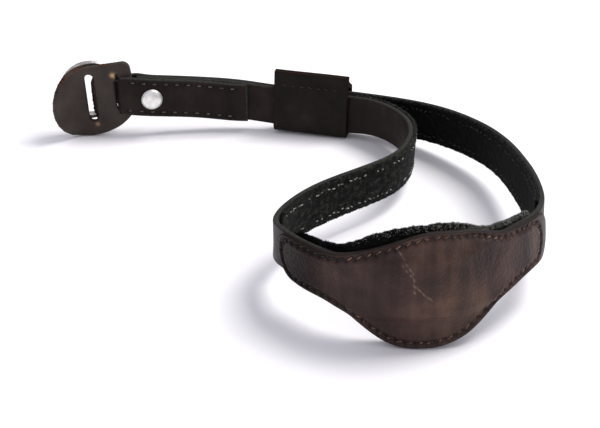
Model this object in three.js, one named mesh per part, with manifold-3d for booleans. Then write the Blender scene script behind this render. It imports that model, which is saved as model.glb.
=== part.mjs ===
// Camera wrist strap, standing on edge: one leather strip runs from its riveted tail through a keeper,
// round a padded wrist loop, back through the keeper, and folds round a split ring behind an end tab.
// Millimetres, +Z up, the surface it stands on at z = 0, the camera end at -X and the wrist pad at -Y.
import * as THREE from "three";
import { mergeVertices } from "three/addons/utils/BufferGeometryUtils.js";
import Module from "manifold-3d";

const wasm = await Module();
wasm.setup();

// ---------------------------------------------------------------- driving dimensions

const GAP = 0.3; // clearance between pieces that touch
const STRIP = { width: 16, thick: 1.8 }; // the leather strip
const LINING_THICK = 1.0; // suede on the strip's inner face
const LAYER = STRIP.thick + GAP; // from one layer of the tail to the next
const SEWN_GAP = 0.4; // between the strip and the pad's layers, which bend round it

// The tail, strand A: its outer face seen from above, left to right, from the cut end into the keeper.
// mid is the height of the strip's centre line, lean how far its top edge stands outward.
const TAIL = [
  { x: -55.6, y: 72.9, mid: 17.6, lean: 0, width: 16 },
  { x: -46.1, y: 74.9, mid: 16.3, lean: 0, width: 16 },
  { x: -31.1, y: 77.3, mid: 14.7, lean: 0, width: 16 },
  { x: -14.1, y: 78.1, mid: 12.9, lean: 0, width: 16 },
];

// The loop: its outer face from the keeper, down strand A, along the pad and back up strand B.
const LOOP = [
  { x: -0.7, y: 76.8, mid: 11.3, lean: 0, width: 16 }, // keeper, left end
  { x: 18.4, y: 72.65, mid: 10.5, lean: 0.1, width: 16 },
  { x: 28.2, y: 70.4, mid: 10.2, lean: 0.15, width: 16 }, // keeper, right end
  { x: 33.9, y: 67.1, mid: 11.0, lean: 0.5, width: 16 },
  { x: 46.5, y: 49.5, mid: 12.7, lean: 0.3, width: 16 }, // strand A leaves in a wide bend
  { x: 48.2, y: 27.7, mid: 14.4, lean: -0.5, width: 16 },
  { x: 41.7, y: 9.7, mid: 15.1, lean: -0.8, width: 16 },
  { x: 27.3, y: -5, mid: 15.6, lean: -0.8, width: 16 },
  { x: 10.4, y: -21.1, mid: 15.9, lean: -0.7, width: 16 },
  { x: 1, y: -37.6, mid: 16.4, lean: -0.7, width: 16 },
  { x: 0.5, y: -47, mid: 17.7, lean: 0.3, width: 16 }, // left turn, round to the pad
  { x: 1.9, y: -52.7, mid: 19.0, lean: 0.8, width: 16 },
  { x: 9.5, y: -65.6, mid: 20.2, lean: 0.6, width: 16 },
  { x: 31.3, y: -80.7, mid: 20.8, lean: 0.2, width: 16 }, // middle of the pad
  { x: 56.9, y: -78.2, mid: 21.4, lean: -0.9, width: 16 },
  { x: 70.1, y: -67.3, mid: 22.0, lean: -1.6, width: 16 },
  { x: 84.8, y: -49, mid: 21.4, lean: -0.8, width: 16 }, // right turn
  { x: 88.7, y: -29.3, mid: 19.6, lean: 0, width: 16 },
  { x: 86.6, y: 2.3, mid: 17.6, lean: 0, width: 16 }, // strand B
  { x: 80.7, y: 29.5, mid: 15.1, lean: -0.6, width: 16 },
  { x: 65.3, y: 53.8, mid: 13.1, lean: -0.8, width: 16 },
  { x: 50.4, y: 67.4, mid: 11.2, lean: -0.8, width: 16 },
  { x: 29.6, y: 76.85, mid: 10.2, lean: -0.2, width: 16 }, // keeper, right end
  { x: 19.8, y: 78.8, mid: 10.5, lean: -0.1, width: 16 },
  { x: 0.2, y: 80.7, mid: 11.3, lean: 0, width: 16 }, // keeper, left end
];

// The wrist pad, by distance along the strip from the pad's left end: how far the leather reaches above
// and below the strip's edges and how thick it is, skived thin towards its ends, then how far the lining
// behind it reaches above the strip and how thick that is.
const PAD = { start: 180, length: 109, inset: 3, endRadius: 8, seam: 3.5 };
const PAD_OUTLINE = [
  { at: 0, above: 0.3, below: 0.0, leather: 0.9, lining: 0.0, pile: 1.0 },
  { at: 17, above: 0.9, below: 0.0, leather: 1.6, lining: 0.3, pile: 1.6 },
  { at: 26, above: 1.4, below: 1.1, leather: 1.8, lining: 1.6, pile: 2.4 },
  { at: 35, above: 4.0, below: 6.6, leather: 1.8, lining: 6.2, pile: 3.0 },
  { at: 44, above: 7.6, below: 11.8, leather: 1.8, lining: 9.2, pile: 3.2 },
  { at: 53, above: 9.9, below: 12.8, leather: 1.8, lining: 9.8, pile: 3.2 },
  { at: 62, above: 8.7, below: 11.3, leather: 1.8, lining: 8.7, pile: 3.2 },
  { at: 71, above: 6.1, below: 6.7, leather: 1.8, lining: 5.6, pile: 3.0 },
  { at: 80, above: 2.3, below: 2.2, leather: 1.8, lining: 1.6, pile: 2.4 },
  { at: 89, above: 0.9, below: 0.2, leather: 1.5, lining: 0.3, pile: 1.8 },
  { at: 109, above: 0.3, below: 0.0, leather: 0.9, lining: 0.0, pile: 1.0 },
];

// Suede linings, by distance along the loop from the keeper's left end.
const LINING_A = { from: 23, to: 168 };
const LINING_B = { from: 293, to: 441 };

// The keeper stands on its right end and rises a little to the left, as the strip in it does.
const KEEPER = { length: 30, leather: 1.5, corner: 1.6, slit: 0.3, height: 26.5, rise: 1.6 };
const KEEPER_ROOF = { shoulder: 1.1, seam: 1.4 }; // the leaning wall's outer face above its inner one
const KEEPER_LINE = { x: -2.1, y: 75.11, heading: -12.5 }; // front face at the surface, left end
const HOLLOW_PAST = 0.05; // share of the keeper's length by which its hollow runs out of each end
// The keeper's hollow along its length: snug on two layers of the strip at one end, wider at the other,
// where the linings lie between them. Its front wall is upright. Its back wall is upright to the
// shoulder and from there leans forward to the seam, which opens at the right end.
const KEEPER_HOLLOW = [
  { at: 0, width: 5.1, shoulder: 19.2, seam: 20.4 },
  { at: 0.3, width: 6.2, shoulder: 19.1, seam: 20.4 },
  { at: 0.62, width: 7.4, shoulder: 19.0, seam: 20.4 },
  { at: 0.9, width: 7.8, shoulder: 18.9, seam: 20.7 },
  { at: 1, width: 7.8, shoulder: 18.9, seam: 23.2 },
];

// The end tab: an upright plate, flat where the strap passes, its far end curled towards -Y. Between
// its round end and the bulge of its lower right lies `under` of straight lower edge.
const TAB = { x: -76.2, y: 72.8, radius: 14.6, reach: 20, corner: 3.1, thick: 2.6, tilt: 8.7, under: 0.4 };
const TAB_CURL = { from: -0.5, to: -5.5, angle: 50 };
const TAB_COLUMNS = 34;
// The lug's slot is as wide at its ends; the strap's slit gapes in the middle and closes to its ends.
const LUG_SLOT = { x: -74.3, z: 16.4, length: 19.6, width: 3.6, end: 3.6, tilt: 3.5 };
const STRAP_SLIT = { x: -63.2, z: 18.2, length: 17.0, width: 4.4, end: 1.2, tilt: 3.5 };
const SLIT_OPEN = 4.8; // half the length over which the slit stays at its full width

// The fold behind the tab turns round this upright axis, which is also the ring's swing axis.
const PIVOT = { x: -65.3, y: 80, mid: 18.2, hollow: 2.5 };
const TONGUE_WIDTH = 9.5;

const RING = { radius: 12, width: 2.2, coil: 1.1, step: 1.3, height: 18.3, yaw: 14 };
const RING_WIRE = { turns: 1.9, stepFrom: 0.9, stepRun: 0.1, start: 20, pieces: 84 };
const RING_TO_PIVOT = 10.3; // ring centre to pivot: the wire's chord through the fold is centred on it

const RIVET = { x: -50.5, drop: 0.3, capRadius: 4.2, capHeight: 1.9, rim: 0.5, post: 1.4, hole: 1.7 };
const RIVET_BACK = { capRadius: 4.0, clear: 0.4, socket: 0.9, postReach: 0.7 };
const RIVET_SEARCH = 0.05; // step along the strip in which the rivet's place is looked for

const COLOURS = {
  strap: 0x37332e,
  suede: 0x3a3c3a,
  padSuede: 0x2c3130,
  padLeather: 0x594841,
  keeper: 0x413d38,
  tab: 0x564c49,
  steel: 0xb9b8b5,
};

// ---------------------------------------------------------------- curves

const rad = THREE.MathUtils.degToRad;
const lerp = THREE.MathUtils.lerp;
const ease = (t) => THREE.MathUtils.smoothstep(t, 0, 1);

/** Second derivatives of the natural cubic through values at the given places. */
function naturalBends(places, values) {
  const n = places.length;
  const bends = new Array(n).fill(0);
  const carry = new Array(n).fill(0);
  for (let i = 1; i < n - 1; i++) {
    const before = places[i] - places[i - 1];
    const after = places[i + 1] - places[i];
    const rise = (values[i + 1] - values[i]) / after - (values[i] - values[i - 1]) / before;
    const pivot = 2 * (before + after) - before * carry[i - 1];
    carry[i] = after / pivot;
    bends[i] = (6 * rise - before * bends[i - 1]) / pivot;
  }
  for (let i = n - 2; i > 0; i--) bends[i] -= carry[i] * bends[i + 1];
  return bends;
}

// A lath's stations are looked for in steps, keep clear of the next mark, and lie at least so far apart.
const WALK = { step: 0.2, clear: 0.4, least: 0.1 };

/** A bent lath: every column of a table as a natural cubic over one running distance. */
class Lath {
  constructor(rows, places) {
    this.rows = rows;
    this.places = places;
    this.columns = Object.keys(rows[0]).filter((key) => key !== "at");
    this.bends = {};
    for (const key of this.columns) {
      this.bends[key] = naturalBends(
        places,
        rows.map((row) => row[key]),
      );
    }
  }

  get length() {
    return this.places[this.places.length - 1];
  }

  at(distance) {
    const s = THREE.MathUtils.clamp(distance, this.places[0], this.length);
    let i = 0;
    while (i < this.places.length - 2 && this.places[i + 1] < s) i++;
    const span = this.places[i + 1] - this.places[i];
    const b = (s - this.places[i]) / span;
    const a = 1 - b;
    const row = {};
    for (const key of this.columns) {
      const bend = this.bends[key];
      const line = a * this.rows[i][key] + b * this.rows[i + 1][key];
      row[key] = line + (((a ** 3 - a) * bend[i] + (b ** 3 - b) * bend[i + 1]) * span ** 2) / 6;
    }
    return row;
  }

  /** Unit normal in plan, to the left of the way the lath runs: towards the strip's inner face. */
  inward(distance) {
    const p = this.at(distance - 0.02);
    const q = this.at(distance + 0.02);
    return new THREE.Vector2(p.y - q.y, q.x - p.x).normalize();
  }

  /** Places along the lath that hold every mark, and more of them where it bends. */
  stations(marks, step, turn) {
    const list = [marks[0]];
    let last = marks[0];
    for (const mark of marks) {
      for (let s = last + WALK.step; s < mark - WALK.clear; s += WALK.step) {
        const bent = this.inward(s).angleTo(this.inward(last));
        if (s - last >= step || bent >= rad(turn)) {
          list.push(s);
          last = s;
        }
      }
      if (mark - last > WALK.least) {
        list.push(mark);
        last = mark;
      }
    }
    return list;
  }
}

/** A lath through plan points, its distance measured from point to point. */
function planLath(rows) {
  const places = [0];
  for (let i = 1; i < rows.length; i++) {
    const run = Math.hypot(rows[i].x - rows[i - 1].x, rows[i].y - rows[i - 1].y);
    places.push(places[i - 1] + run);
  }
  return new Lath(rows, places);
}

// ---------------------------------------------------------------- solids

/** A closed geometry from rings of points, each joined to the next, its ends capped. Opposite sides
 * split their quads along the same diagonal, so that one layer nests in the next where they twist. */
function skin(rings) {
  const n = rings[0].length;
  const faces = [];
  for (let i = 0; i < rings.length - 1; i++) {
    for (let j = 0; j < n; j++) {
      const a = i * n + j;
      const b = i * n + ((j + 1) % n);
      if (j < n / 2) faces.push(a, b, a + n, b, b + n, a + n);
      else faces.push(a, b, b + n, a, b + n, a + n);
    }
  }
  const last = (rings.length - 1) * n;
  for (let j = 0; j < n / 2 - 1; j++) {
    const k = n - 1 - j;
    faces.push(j, k, j + 1, k, k - 1, j + 1);
    faces.push(last + j, last + j + 1, last + k, last + k, last + j + 1, last + k - 1);
  }
  const geometry = new THREE.BufferGeometry();
  geometry.setAttribute("position", new THREE.Float32BufferAttribute(rings.flat(2), 3));
  geometry.setIndex(faces);
  return geometry;
}

/** A wall standing along a lath: levels gives the heights of its points at a station, lowest first, and
 * outer and inner give how far its two faces lie from the lath there. */
function wall(lath, stations, { levels, outer, inner }) {
  const rings = stations.map((s) => {
    const plan = lath.at(s);
    const inward = lath.inward(s);
    const point = (height, offset) => {
      const out = offset - (plan.lean * height * 2) / STRIP.width;
      return [plan.x + inward.x * out, plan.y + inward.y * out, plan.mid + height];
    };
    const heights = levels(s);
    return [
      ...heights.map((height) => point(height, inner(height, s))),
      ...heights.map((height) => point(height, outer(height, s))).reverse(),
    ];
  });
  return skin(rings);
}

/** A geometry as a manifold-3d solid, its shared vertices merged. */
function toSolid(geometry) {
  const bare = new THREE.BufferGeometry();
  bare.setAttribute("position", geometry.getAttribute("position"));
  bare.setIndex(geometry.index);
  const merged = mergeVertices(bare, 1e-4);
  const vertProperties = new Float32Array(merged.getAttribute("position").array);
  const triVerts = new Uint32Array(merged.index.array);
  return new wasm.Manifold(new wasm.Mesh({ numProp: 3, vertProperties, triVerts }));
}

/** A geometry with the tools cut out of it. */
function cut(geometry, ...tools) {
  const solid = tools.reduce((rest, tool) => rest.subtract(toSolid(tool)), toSolid(geometry));
  const mesh = solid.getMesh();
  const made = new THREE.BufferGeometry();
  made.setAttribute("position", new THREE.BufferAttribute(mesh.vertProperties, 3));
  made.setIndex(new THREE.BufferAttribute(mesh.triVerts, 1));
  return made;
}

// ---------------------------------------------------------------- the strip's route

/** Rows of a table moved square to its own run, to lay one layer on another. */
function layered(rows, offset) {
  const lath = planLath(rows);
  return rows.map((row, i) => {
    const inward = lath.inward(lath.places[i]);
    return { ...row, x: row.x + inward.x * offset, y: row.y + inward.y * offset };
  });
}

/** A point of the strip's outer face on the turn round the pivot, by its bearing. */
function turnPoint(bearing) {
  const radius = PIVOT.hollow + STRIP.thick;
  const x = PIVOT.x + radius * Math.cos(rad(bearing));
  const y = PIVOT.y + radius * Math.sin(rad(bearing));
  return { x, y, mid: PIVOT.mid, lean: 0, width: TONGUE_WIDTH };
}

const tailOfB = layered([...TAIL, LOOP[0]], 2 * STRIP.thick + GAP)
  .slice(1, 4)
  .reverse();
const frontLayer = layered([...TAIL, LOOP[0]], -LAYER).slice(1, 4);

// Behind the tab: strand B swings out, narrows to a tongue, turns round the ring's wire,
// and comes forward through the tab's slit to lie on top of strand A's end.
const FOLD = [
  { x: -52.6, y: 77.5, mid: 17.2, lean: 0, width: 16 },
  { x: -56.6, y: 77.65, mid: 17.8, lean: 0, width: 15.6 },
  { x: -59.9, y: 79.5, mid: 18.1, lean: 0, width: 12.5 },
  { x: -61.8, y: 82.8, mid: 18.2, lean: 0, width: 10.2 },
  ...[90, 135, 180, 225, 270].map(turnPoint),
  { x: -64.84, y: 75.56, mid: 18.2, lean: 0, width: TONGUE_WIDTH },
  { x: -64.52, y: 75.1, mid: 18.2, lean: 0, width: TONGUE_WIDTH },
  { x: -63.54, y: 72.41, mid: 18.1, lean: 0, width: 10 }, // in the slit
  { x: -62.58, y: 71.17, mid: 18.1, lean: 0, width: 10.8 },
  { x: -61.09, y: 70.7, mid: 18.0, lean: 0, width: 12 },
  { x: -58.7, y: 70.56, mid: 17.9, lean: 0, width: 15.4 },
  { x: -55.6, y: 70.75, mid: 17.6, lean: 0, width: 16 },
];
const FRONT_PAST = { x: 2, y: -0.05 }; // from the top layer's last row to its cut end
const FRONT_END = {
  ...frontLayer[2],
  x: frontLayer[2].x + FRONT_PAST.x,
  y: frontLayer[2].y + FRONT_PAST.y,
};

const strip = planLath([...TAIL, ...LOOP, ...tailOfB, ...FOLD, ...frontLayer, FRONT_END]);
const loopStart = strip.places[TAIL.length];
const padOutline = new Lath(
  PAD_OUTLINE,
  PAD_OUTLINE.map((row) => row.at),
);

// Sections through a rounded end, as shares of its radius.
const ROUNDING = [0, 0.03, 0.12, 0.27, 0.47, 0.72, 1];

/** A layer on the strip between two distances along the loop, square or rounded at each end. */
class Layer {
  constructor(from, to, fromRadius, toRadius) {
    this.from = loopStart + from;
    this.to = loopStart + to;
    this.fromRadius = fromRadius;
    this.toRadius = toRadius;
  }

  get marks() {
    return ROUNDING.flatMap((t) => [this.from + t * this.fromRadius, this.to - t * this.toRadius]);
  }

  get stations() {
    return sharedStations.filter((s) => s > this.from - 0.01 && s < this.to + 0.01);
  }

  /** The share of its full height that the layer has at a distance along the strip. */
  fullness(s) {
    const share = (distance, radius) => {
      const t = THREE.MathUtils.clamp(distance / Math.max(radius, 0.01), 0, 1);
      return radius > 0 ? Math.sqrt(Math.max(0.02, 1 - (1 - t) ** 2)) : 1;
    };
    return Math.min(share(s - this.from, this.fromRadius), share(this.to - s, this.toRadius));
  }
}

const padEnd = PAD.start + PAD.length;
const liningA = new Layer(LINING_A.from, LINING_A.to, 0, STRIP.width / 2);
const liningB = new Layer(LINING_B.from, LINING_B.to, 0, 0);
const padLeather = new Layer(PAD.start, padEnd, PAD.endRadius, PAD.endRadius);
const padLining = new Layer(PAD.start + PAD.inset, padEnd - PAD.inset, PAD.endRadius, PAD.endRadius);

// Every layer has its sections at the same distances, so that their facets nest.
const marks = [liningA, liningB, padLeather, padLining].flatMap((layer) => layer.marks);
const sharedStations = strip.stations(
  [0, ...marks.sort((a, b) => a - b), strip.length],
  6,
  11,
);

// ---------------------------------------------------------------- pieces

/** The rivet's own frame: on the strip's outer face, its axis square to it. */
function rivetFrame() {
  let s = 0;
  while (strip.at(s).x < RIVET.x) s += RIVET_SEARCH;
  const face = strip.at(s);
  const inward = strip.inward(s);
  return {
    place: (offset) =>
      new THREE.Vector3(face.x + inward.x * offset, face.y + inward.y * offset, face.mid - RIVET.drop),
    turn: new THREE.Quaternion().setFromUnitVectors(
      new THREE.Vector3(0, 1, 0),
      new THREE.Vector3(inward.x, inward.y, 0),
    ),
  };
}

/** The whole strip, with the rivet's hole through its three layers at the tail. */
function strapGeometry() {
  const half = (s) => strip.at(s).width / 2;
  const geometry = wall(strip, sharedStations, {
    levels: (s) => [-half(s), half(s)],
    outer: () => 0,
    inner: () => STRIP.thick,
  });
  const frame = rivetFrame();
  const drill = new THREE.CylinderGeometry(RIVET.hole, RIVET.hole, 12, 16);
  drill.applyQuaternion(frame.turn);
  drill.translate(...frame.place(STRIP.thick / 2));
  return cut(geometry, drill);
}

/** A suede strip on the strip's inner face. */
function liningGeometry(layer) {
  const half = (s) => (STRIP.width / 2) * layer.fullness(s);
  return wall(strip, layer.stations, {
    levels: (s) => [-half(s), half(s)],
    outer: () => LAYER,
    inner: () => LAYER + LINING_THICK,
  });
}

// How far each of the pad's two layers closes in on the other past the strip's edges.
const PINCH = STRIP.thick / 2 + SEWN_GAP - GAP / 2;

/** The share of that closing in at a height from the strip's centre line, 0 to 1. */
const pinch = (height) => ease((Math.abs(height) - STRIP.width / 2 - GAP) / PAD.seam);

// Shares of the way from a pad layer's edge in to the strip's edge, which is at most `widest` of it.
const PAD_LEVELS = { widest: 0.9, shares: [0.35, 0.7] };

/** Heights of a pad layer's points on one side of the centre line, from its edge in. */
function padLevels(reach) {
  const edge = Math.min(STRIP.width / 2 + GAP, PAD_LEVELS.widest * reach);
  const between = PAD_LEVELS.shares.map((share) => lerp(reach, edge, share));
  return [reach, ...between, edge, edge / 3];
}

/** Either layer of the pad, `above` naming the outline's column for its top edge. */
function padGeometry(layer, { above, outer, inner }) {
  const row = (s) => padOutline.at(s - loopStart - PAD.start);
  const reach = (s, column) => (STRIP.width / 2 + row(s)[column]) * layer.fullness(s);
  return wall(strip, layer.stations, {
    levels: (s) => [
      ...padLevels(reach(s, "below")).map((height) => -height),
      ...padLevels(reach(s, above)).reverse(),
    ],
    outer: (height, s) => outer(height, row(s)),
    inner: (height, s) => inner(height, row(s)),
  });
}

function padLeatherGeometry() {
  return padGeometry(padLeather, {
    above: "above",
    outer: (height, row) => -SEWN_GAP - row.leather + PINCH * pinch(height),
    inner: (height) => -SEWN_GAP + PINCH * pinch(height),
  });
}

function padLiningGeometry() {
  return padGeometry(padLining, {
    above: "lining",
    outer: (height) => STRIP.thick + SEWN_GAP - PINCH * pinch(height),
    inner: (height, row) => STRIP.thick + SEWN_GAP + row.pile - PINCH * pinch(height),
  });
}

/** Section of a sleeve with a straight front wall and a back wall that leans over to it: across, height. */
function sleeve({ front, back, foot, corner, shoulder, seam, lap, top }) {
  const section = [];
  const round = (middle, from) => {
    for (let a = from; a <= from + 90; a += 22.5) {
      section.push([
        middle + corner * Math.cos(rad(a)),
        foot + corner + corner * Math.sin(rad(a)),
      ]);
    }
  };
  round(front + corner, 180);
  round(back - corner, 270);
  section.push([back, shoulder], [lap, seam], [lap, top], [front, top]);
  return section;
}

/** The keeper: a folded sleeve round both strands, wider at the loop end, stitched above them. */
function keeperGeometry() {
  const { length, leather, corner, slit, height, rise } = KEEPER;
  const heading = new THREE.Vector2(1, 0).rotateAround(new THREE.Vector2(), rad(KEEPER_LINE.heading));
  const place = (row, section) =>
    section.map(([across, up]) => {
      const left = (1 - row.at) * length;
      const run = length - left * Math.cos(rad(rise)) + up * Math.sin(rad(rise));
      const z = up * Math.cos(rad(rise)) + left * Math.sin(rad(rise));
      const x = KEEPER_LINE.x + heading.x * run - heading.y * across;
      const y = KEEPER_LINE.y + heading.y * run + heading.x * across;
      return [x, y, z];
    });
  const outside = (row) =>
    sleeve({
      front: 0,
      back: row.width + 2 * leather,
      foot: 0,
      corner: corner + leather,
      shoulder: row.shoulder + KEEPER_ROOF.shoulder,
      seam: row.seam + KEEPER_ROOF.seam,
      lap: 2 * leather,
      top: height,
    });
  const inside = (row) =>
    sleeve({
      front: leather,
      back: row.width + leather,
      foot: leather,
      corner,
      shoulder: row.shoulder,
      seam: row.seam,
      lap: leather + slit,
      top: row.seam + slit,
    });
  const first = { ...KEEPER_HOLLOW[0], at: -HOLLOW_PAST };
  const last = { ...KEEPER_HOLLOW[KEEPER_HOLLOW.length - 1], at: 1 + HOLLOW_PAST };
  const body = KEEPER_HOLLOW.map((row) => place(row, outside(row)));
  const hollow = [first, ...KEEPER_HOLLOW, last].map((row) => place(row, inside(row)));
  return cut(skin(body), skin(hollow));
}

/** A prism with rounded ends, upright in the plane of the tab, to cut a slot with. */
function slotTool({ x, z, length, width, end, tilt }) {
  const reach = (length - end) / 2;
  const halfWidth = (up) => lerp(width, end, ease((Math.abs(up) - SLIT_OPEN) / (reach - SLIT_OPEN))) / 2;
  const outline = new THREE.Shape();
  outline.absarc(0, reach, end / 2, 0, Math.PI);
  for (let i = 1; i < 12; i++) {
    const up = lerp(reach, -reach, i / 12);
    outline.lineTo(-halfWidth(up), up);
  }
  outline.absarc(0, -reach, end / 2, Math.PI, 2 * Math.PI);
  for (let i = 1; i < 12; i++) {
    const up = lerp(-reach, reach, i / 12);
    outline.lineTo(halfWidth(up), up);
  }
  const tool = new THREE.ExtrudeGeometry(outline, {
    depth: 4 * TAB.thick,
    bevelEnabled: false,
    curveSegments: 8,
  });
  tool.rotateZ(rad(tilt));
  tool.rotateX(Math.PI / 2);
  tool.translate(x, TAB.y + 2.5 * TAB.thick, z);
  return tool;
}

/** Plan position and backward normal of the tab's front face, by distance from its round end's centre. */
function tabPlan(s) {
  const { from, to, angle } = TAB_CURL;
  const bend = (from - to) / rad(angle);
  const turned = THREE.MathUtils.clamp((from - s) / bend, 0, rad(angle));
  const flat = Math.max(s - from, 0);
  const past = Math.max(to - s, 0);
  const x = TAB.x + from + flat - bend * Math.sin(turned) - past * Math.cos(turned);
  const y = TAB.y - bend * (1 - Math.cos(turned)) - past * Math.sin(turned);
  return { x, y, back: new THREE.Vector2(-Math.sin(turned), Math.cos(turned)) };
}

/** The tab's outline round its round end's centre, tilted as it stands. */
function tabOutline() {
  const { radius, reach, corner, tilt, under } = TAB;
  const outline = new THREE.Shape();
  outline.absarc(0, 0, radius, Math.PI / 2, 1.5 * Math.PI);
  outline.absellipse(under, 0, reach - under, radius, 1.5 * Math.PI, 2 * Math.PI);
  outline.lineTo(reach, radius - corner);
  outline.absarc(reach - corner, radius - corner, corner, 0, Math.PI / 2);
  outline.closePath();
  return outline
    .getPoints(24)
    .map((point) => point.rotateAround(new THREE.Vector2(), rad(tilt)));
}

/** Lowest and highest point of a closed convex outline on the upright through x. */
function heightsAt(outline, x) {
  const heights = [];
  outline.forEach((p, i) => {
    const q = outline[(i + 1) % outline.length];
    if (p.x === q.x || (p.x - x) * (q.x - x) > 0) return;
    heights.push(lerp(p.y, q.y, (x - p.x) / (q.x - p.x)));
  });
  return [Math.min(...heights), Math.max(...heights)];
}

function tabGeometry() {
  const outline = tabOutline();
  const blunt = 0.03; // the round end stops this short of its tip, to keep a real edge there
  const left = Math.min(...outline.map((p) => p.x)) + blunt;
  const right = Math.max(...outline.map((p) => p.x)) - blunt;
  const rings = [];
  for (let i = 0; i <= TAB_COLUMNS; i++) {
    const s = lerp(left, right, (1 - Math.cos((Math.PI * i) / TAB_COLUMNS)) / 2);
    const [low, high] = heightsAt(outline, s);
    const { x, y, back } = tabPlan(s);
    const z = [TAB.radius + low, TAB.radius + high];
    const behind = [x + back.x * TAB.thick, y + back.y * TAB.thick];
    rings.push([
      [x, y, z[1]],
      [x, y, z[0]],
      [...behind, z[0]],
      [...behind, z[1]],
    ]);
  }
  return cut(skin(rings), slotTool(LUG_SLOT), slotTool(STRAP_SLIT));
}

/** A split ring: flat wire wound nearly twice, stepping across from one coil to the other. */
function splitRingGeometry() {
  const { radius, width, coil, step, height, yaw } = RING;
  const { turns, stepFrom, stepRun, start, pieces } = RING_WIRE;
  const rings = [];
  for (let i = 0; i <= pieces; i++) {
    const turn = (turns * i) / pieces;
    const across = step * (ease((turn - stepFrom) / stepRun) - 0.5);
    const angle = 2 * Math.PI * turn + rad(start);
    const corner = (r, a) => [r * Math.cos(angle), across + a, r * Math.sin(angle)];
    rings.push([
      corner(radius - width, -coil / 2),
      corner(radius, -coil / 2),
      corner(radius, coil / 2),
      corner(radius - width, coil / 2),
    ]);
  }
  const geometry = skin(rings);
  geometry.rotateZ(rad(yaw));
  geometry.translate(
    PIVOT.x - RING_TO_PIVOT * Math.cos(rad(yaw)),
    PIVOT.y - RING_TO_PIVOT * Math.sin(rad(yaw)),
    height,
  );
  return geometry;
}

/** A shallow dome's profile from its rim to its crown, for a lathe. */
function dome(radius, rim, rise) {
  const points = [new THREE.Vector2(radius, 0)];
  for (let i = 0; i <= 6; i++) {
    const a = (Math.PI / 2) * (i / 6);
    points.push(new THREE.Vector2(radius * Math.cos(a), rim + (rise - rim) * Math.sin(a)));
  }
  points[points.length - 1].x = 0;
  return points;
}

/** The rivet's cap in front and its post through the three layers. */
function rivetGeometry() {
  const frame = rivetFrame();
  const { capRadius, capHeight, rim, post } = RIVET;
  const depth = 3 * STRIP.thick + 3 * GAP + RIVET_BACK.clear + RIVET_BACK.postReach;
  const cap = dome(capRadius, rim, capHeight);
  const profile = [new THREE.Vector2(0, -depth), new THREE.Vector2(post, -depth)];
  const lathe = new THREE.LatheGeometry([...profile, new THREE.Vector2(post, 0), ...cap], 32);
  lathe.rotateX(Math.PI);
  lathe.applyQuaternion(frame.turn);
  lathe.translate(...frame.place(-LAYER - GAP));
  return lathe;
}

/** The rivet's back cap, socketed on the post's end. */
function rivetBackGeometry() {
  const frame = rivetFrame();
  const { capHeight, rim, hole } = RIVET;
  const socket = [new THREE.Vector2(0, RIVET_BACK.socket), new THREE.Vector2(hole, RIVET_BACK.socket)];
  const cap = dome(RIVET_BACK.capRadius, rim, capHeight);
  const profile = [...socket, new THREE.Vector2(hole, 0), ...cap];
  const lathe = new THREE.LatheGeometry(profile, 32);
  lathe.applyQuaternion(frame.turn);
  lathe.translate(...frame.place(2 * STRIP.thick + 2 * GAP + RIVET_BACK.clear));
  return lathe;
}

// ---------------------------------------------------------------- assembly

const wristStrap = new THREE.Group();

/** Adds one named piece with its own material. */
function add(name, geometry, color, roughness, metalness = 0) {
  const material = new THREE.MeshStandardMaterial({ color, roughness, metalness });
  const mesh = new THREE.Mesh(geometry, material);
  mesh.name = name;
  wristStrap.add(mesh);
}

add("strap", strapGeometry(), COLOURS.strap, 0.55);
add("lining_strand_a", liningGeometry(liningA), COLOURS.suede, 0.95);
add("lining_strand_b", liningGeometry(liningB), COLOURS.suede, 0.95);
add("pad_leather", padLeatherGeometry(), COLOURS.padLeather, 0.5);
add("pad_lining", padLiningGeometry(), COLOURS.padSuede, 0.98);
add("keeper", keeperGeometry(), COLOURS.keeper, 0.55);
add("end_tab", tabGeometry(), COLOURS.tab, 0.6);
add("split_ring", splitRingGeometry(), COLOURS.steel, 0.3, 1);
add("rivet", rivetGeometry(), COLOURS.steel, 0.2, 1);
add("rivet_back", rivetBackGeometry(), COLOURS.steel, 0.3, 1);

export default wristStrap;
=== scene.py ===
# %% [markdown]
# # A leather camera wrist strap, standing on its edge
#
# The strap is one leather strip. It starts under a rivet, runs through a keeper, goes round the wrist
# as a loop with a padded front, comes back through the keeper, folds round a split ring and ends on top
# of its own beginning. Everything sewn to it (two suede linings, a shaped leather pad with a thick
# suede backing) follows the strip, so this script first builds one thing: a way to say "so far along the
# strip, so high across it, so deep into it". Every soft piece is then a small table read through that.
#
# Lengths are millimetres until a mesh is made, because that is how a strap is cut.

import bmesh
import bpy
import numpy as np
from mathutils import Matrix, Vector


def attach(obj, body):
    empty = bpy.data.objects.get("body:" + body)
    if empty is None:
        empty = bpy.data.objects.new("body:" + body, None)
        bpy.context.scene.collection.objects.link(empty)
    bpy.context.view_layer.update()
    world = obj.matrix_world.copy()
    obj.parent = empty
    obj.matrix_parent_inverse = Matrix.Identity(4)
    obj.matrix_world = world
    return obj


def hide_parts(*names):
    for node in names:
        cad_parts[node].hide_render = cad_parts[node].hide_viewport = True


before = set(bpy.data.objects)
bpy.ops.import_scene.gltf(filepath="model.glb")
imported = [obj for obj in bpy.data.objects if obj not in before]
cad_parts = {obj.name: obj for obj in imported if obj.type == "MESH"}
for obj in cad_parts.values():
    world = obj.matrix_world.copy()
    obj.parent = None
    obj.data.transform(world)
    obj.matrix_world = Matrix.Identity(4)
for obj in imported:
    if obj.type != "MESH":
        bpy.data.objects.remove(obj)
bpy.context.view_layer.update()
MM = 0.001
print("packed nodes:", sorted(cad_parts))


# %% Small curves that the shapes below share
def bell(x):
    """A smooth bump: exp(-x^2), one at zero and nearly gone at two."""
    return np.exp(-(x**2))


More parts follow.
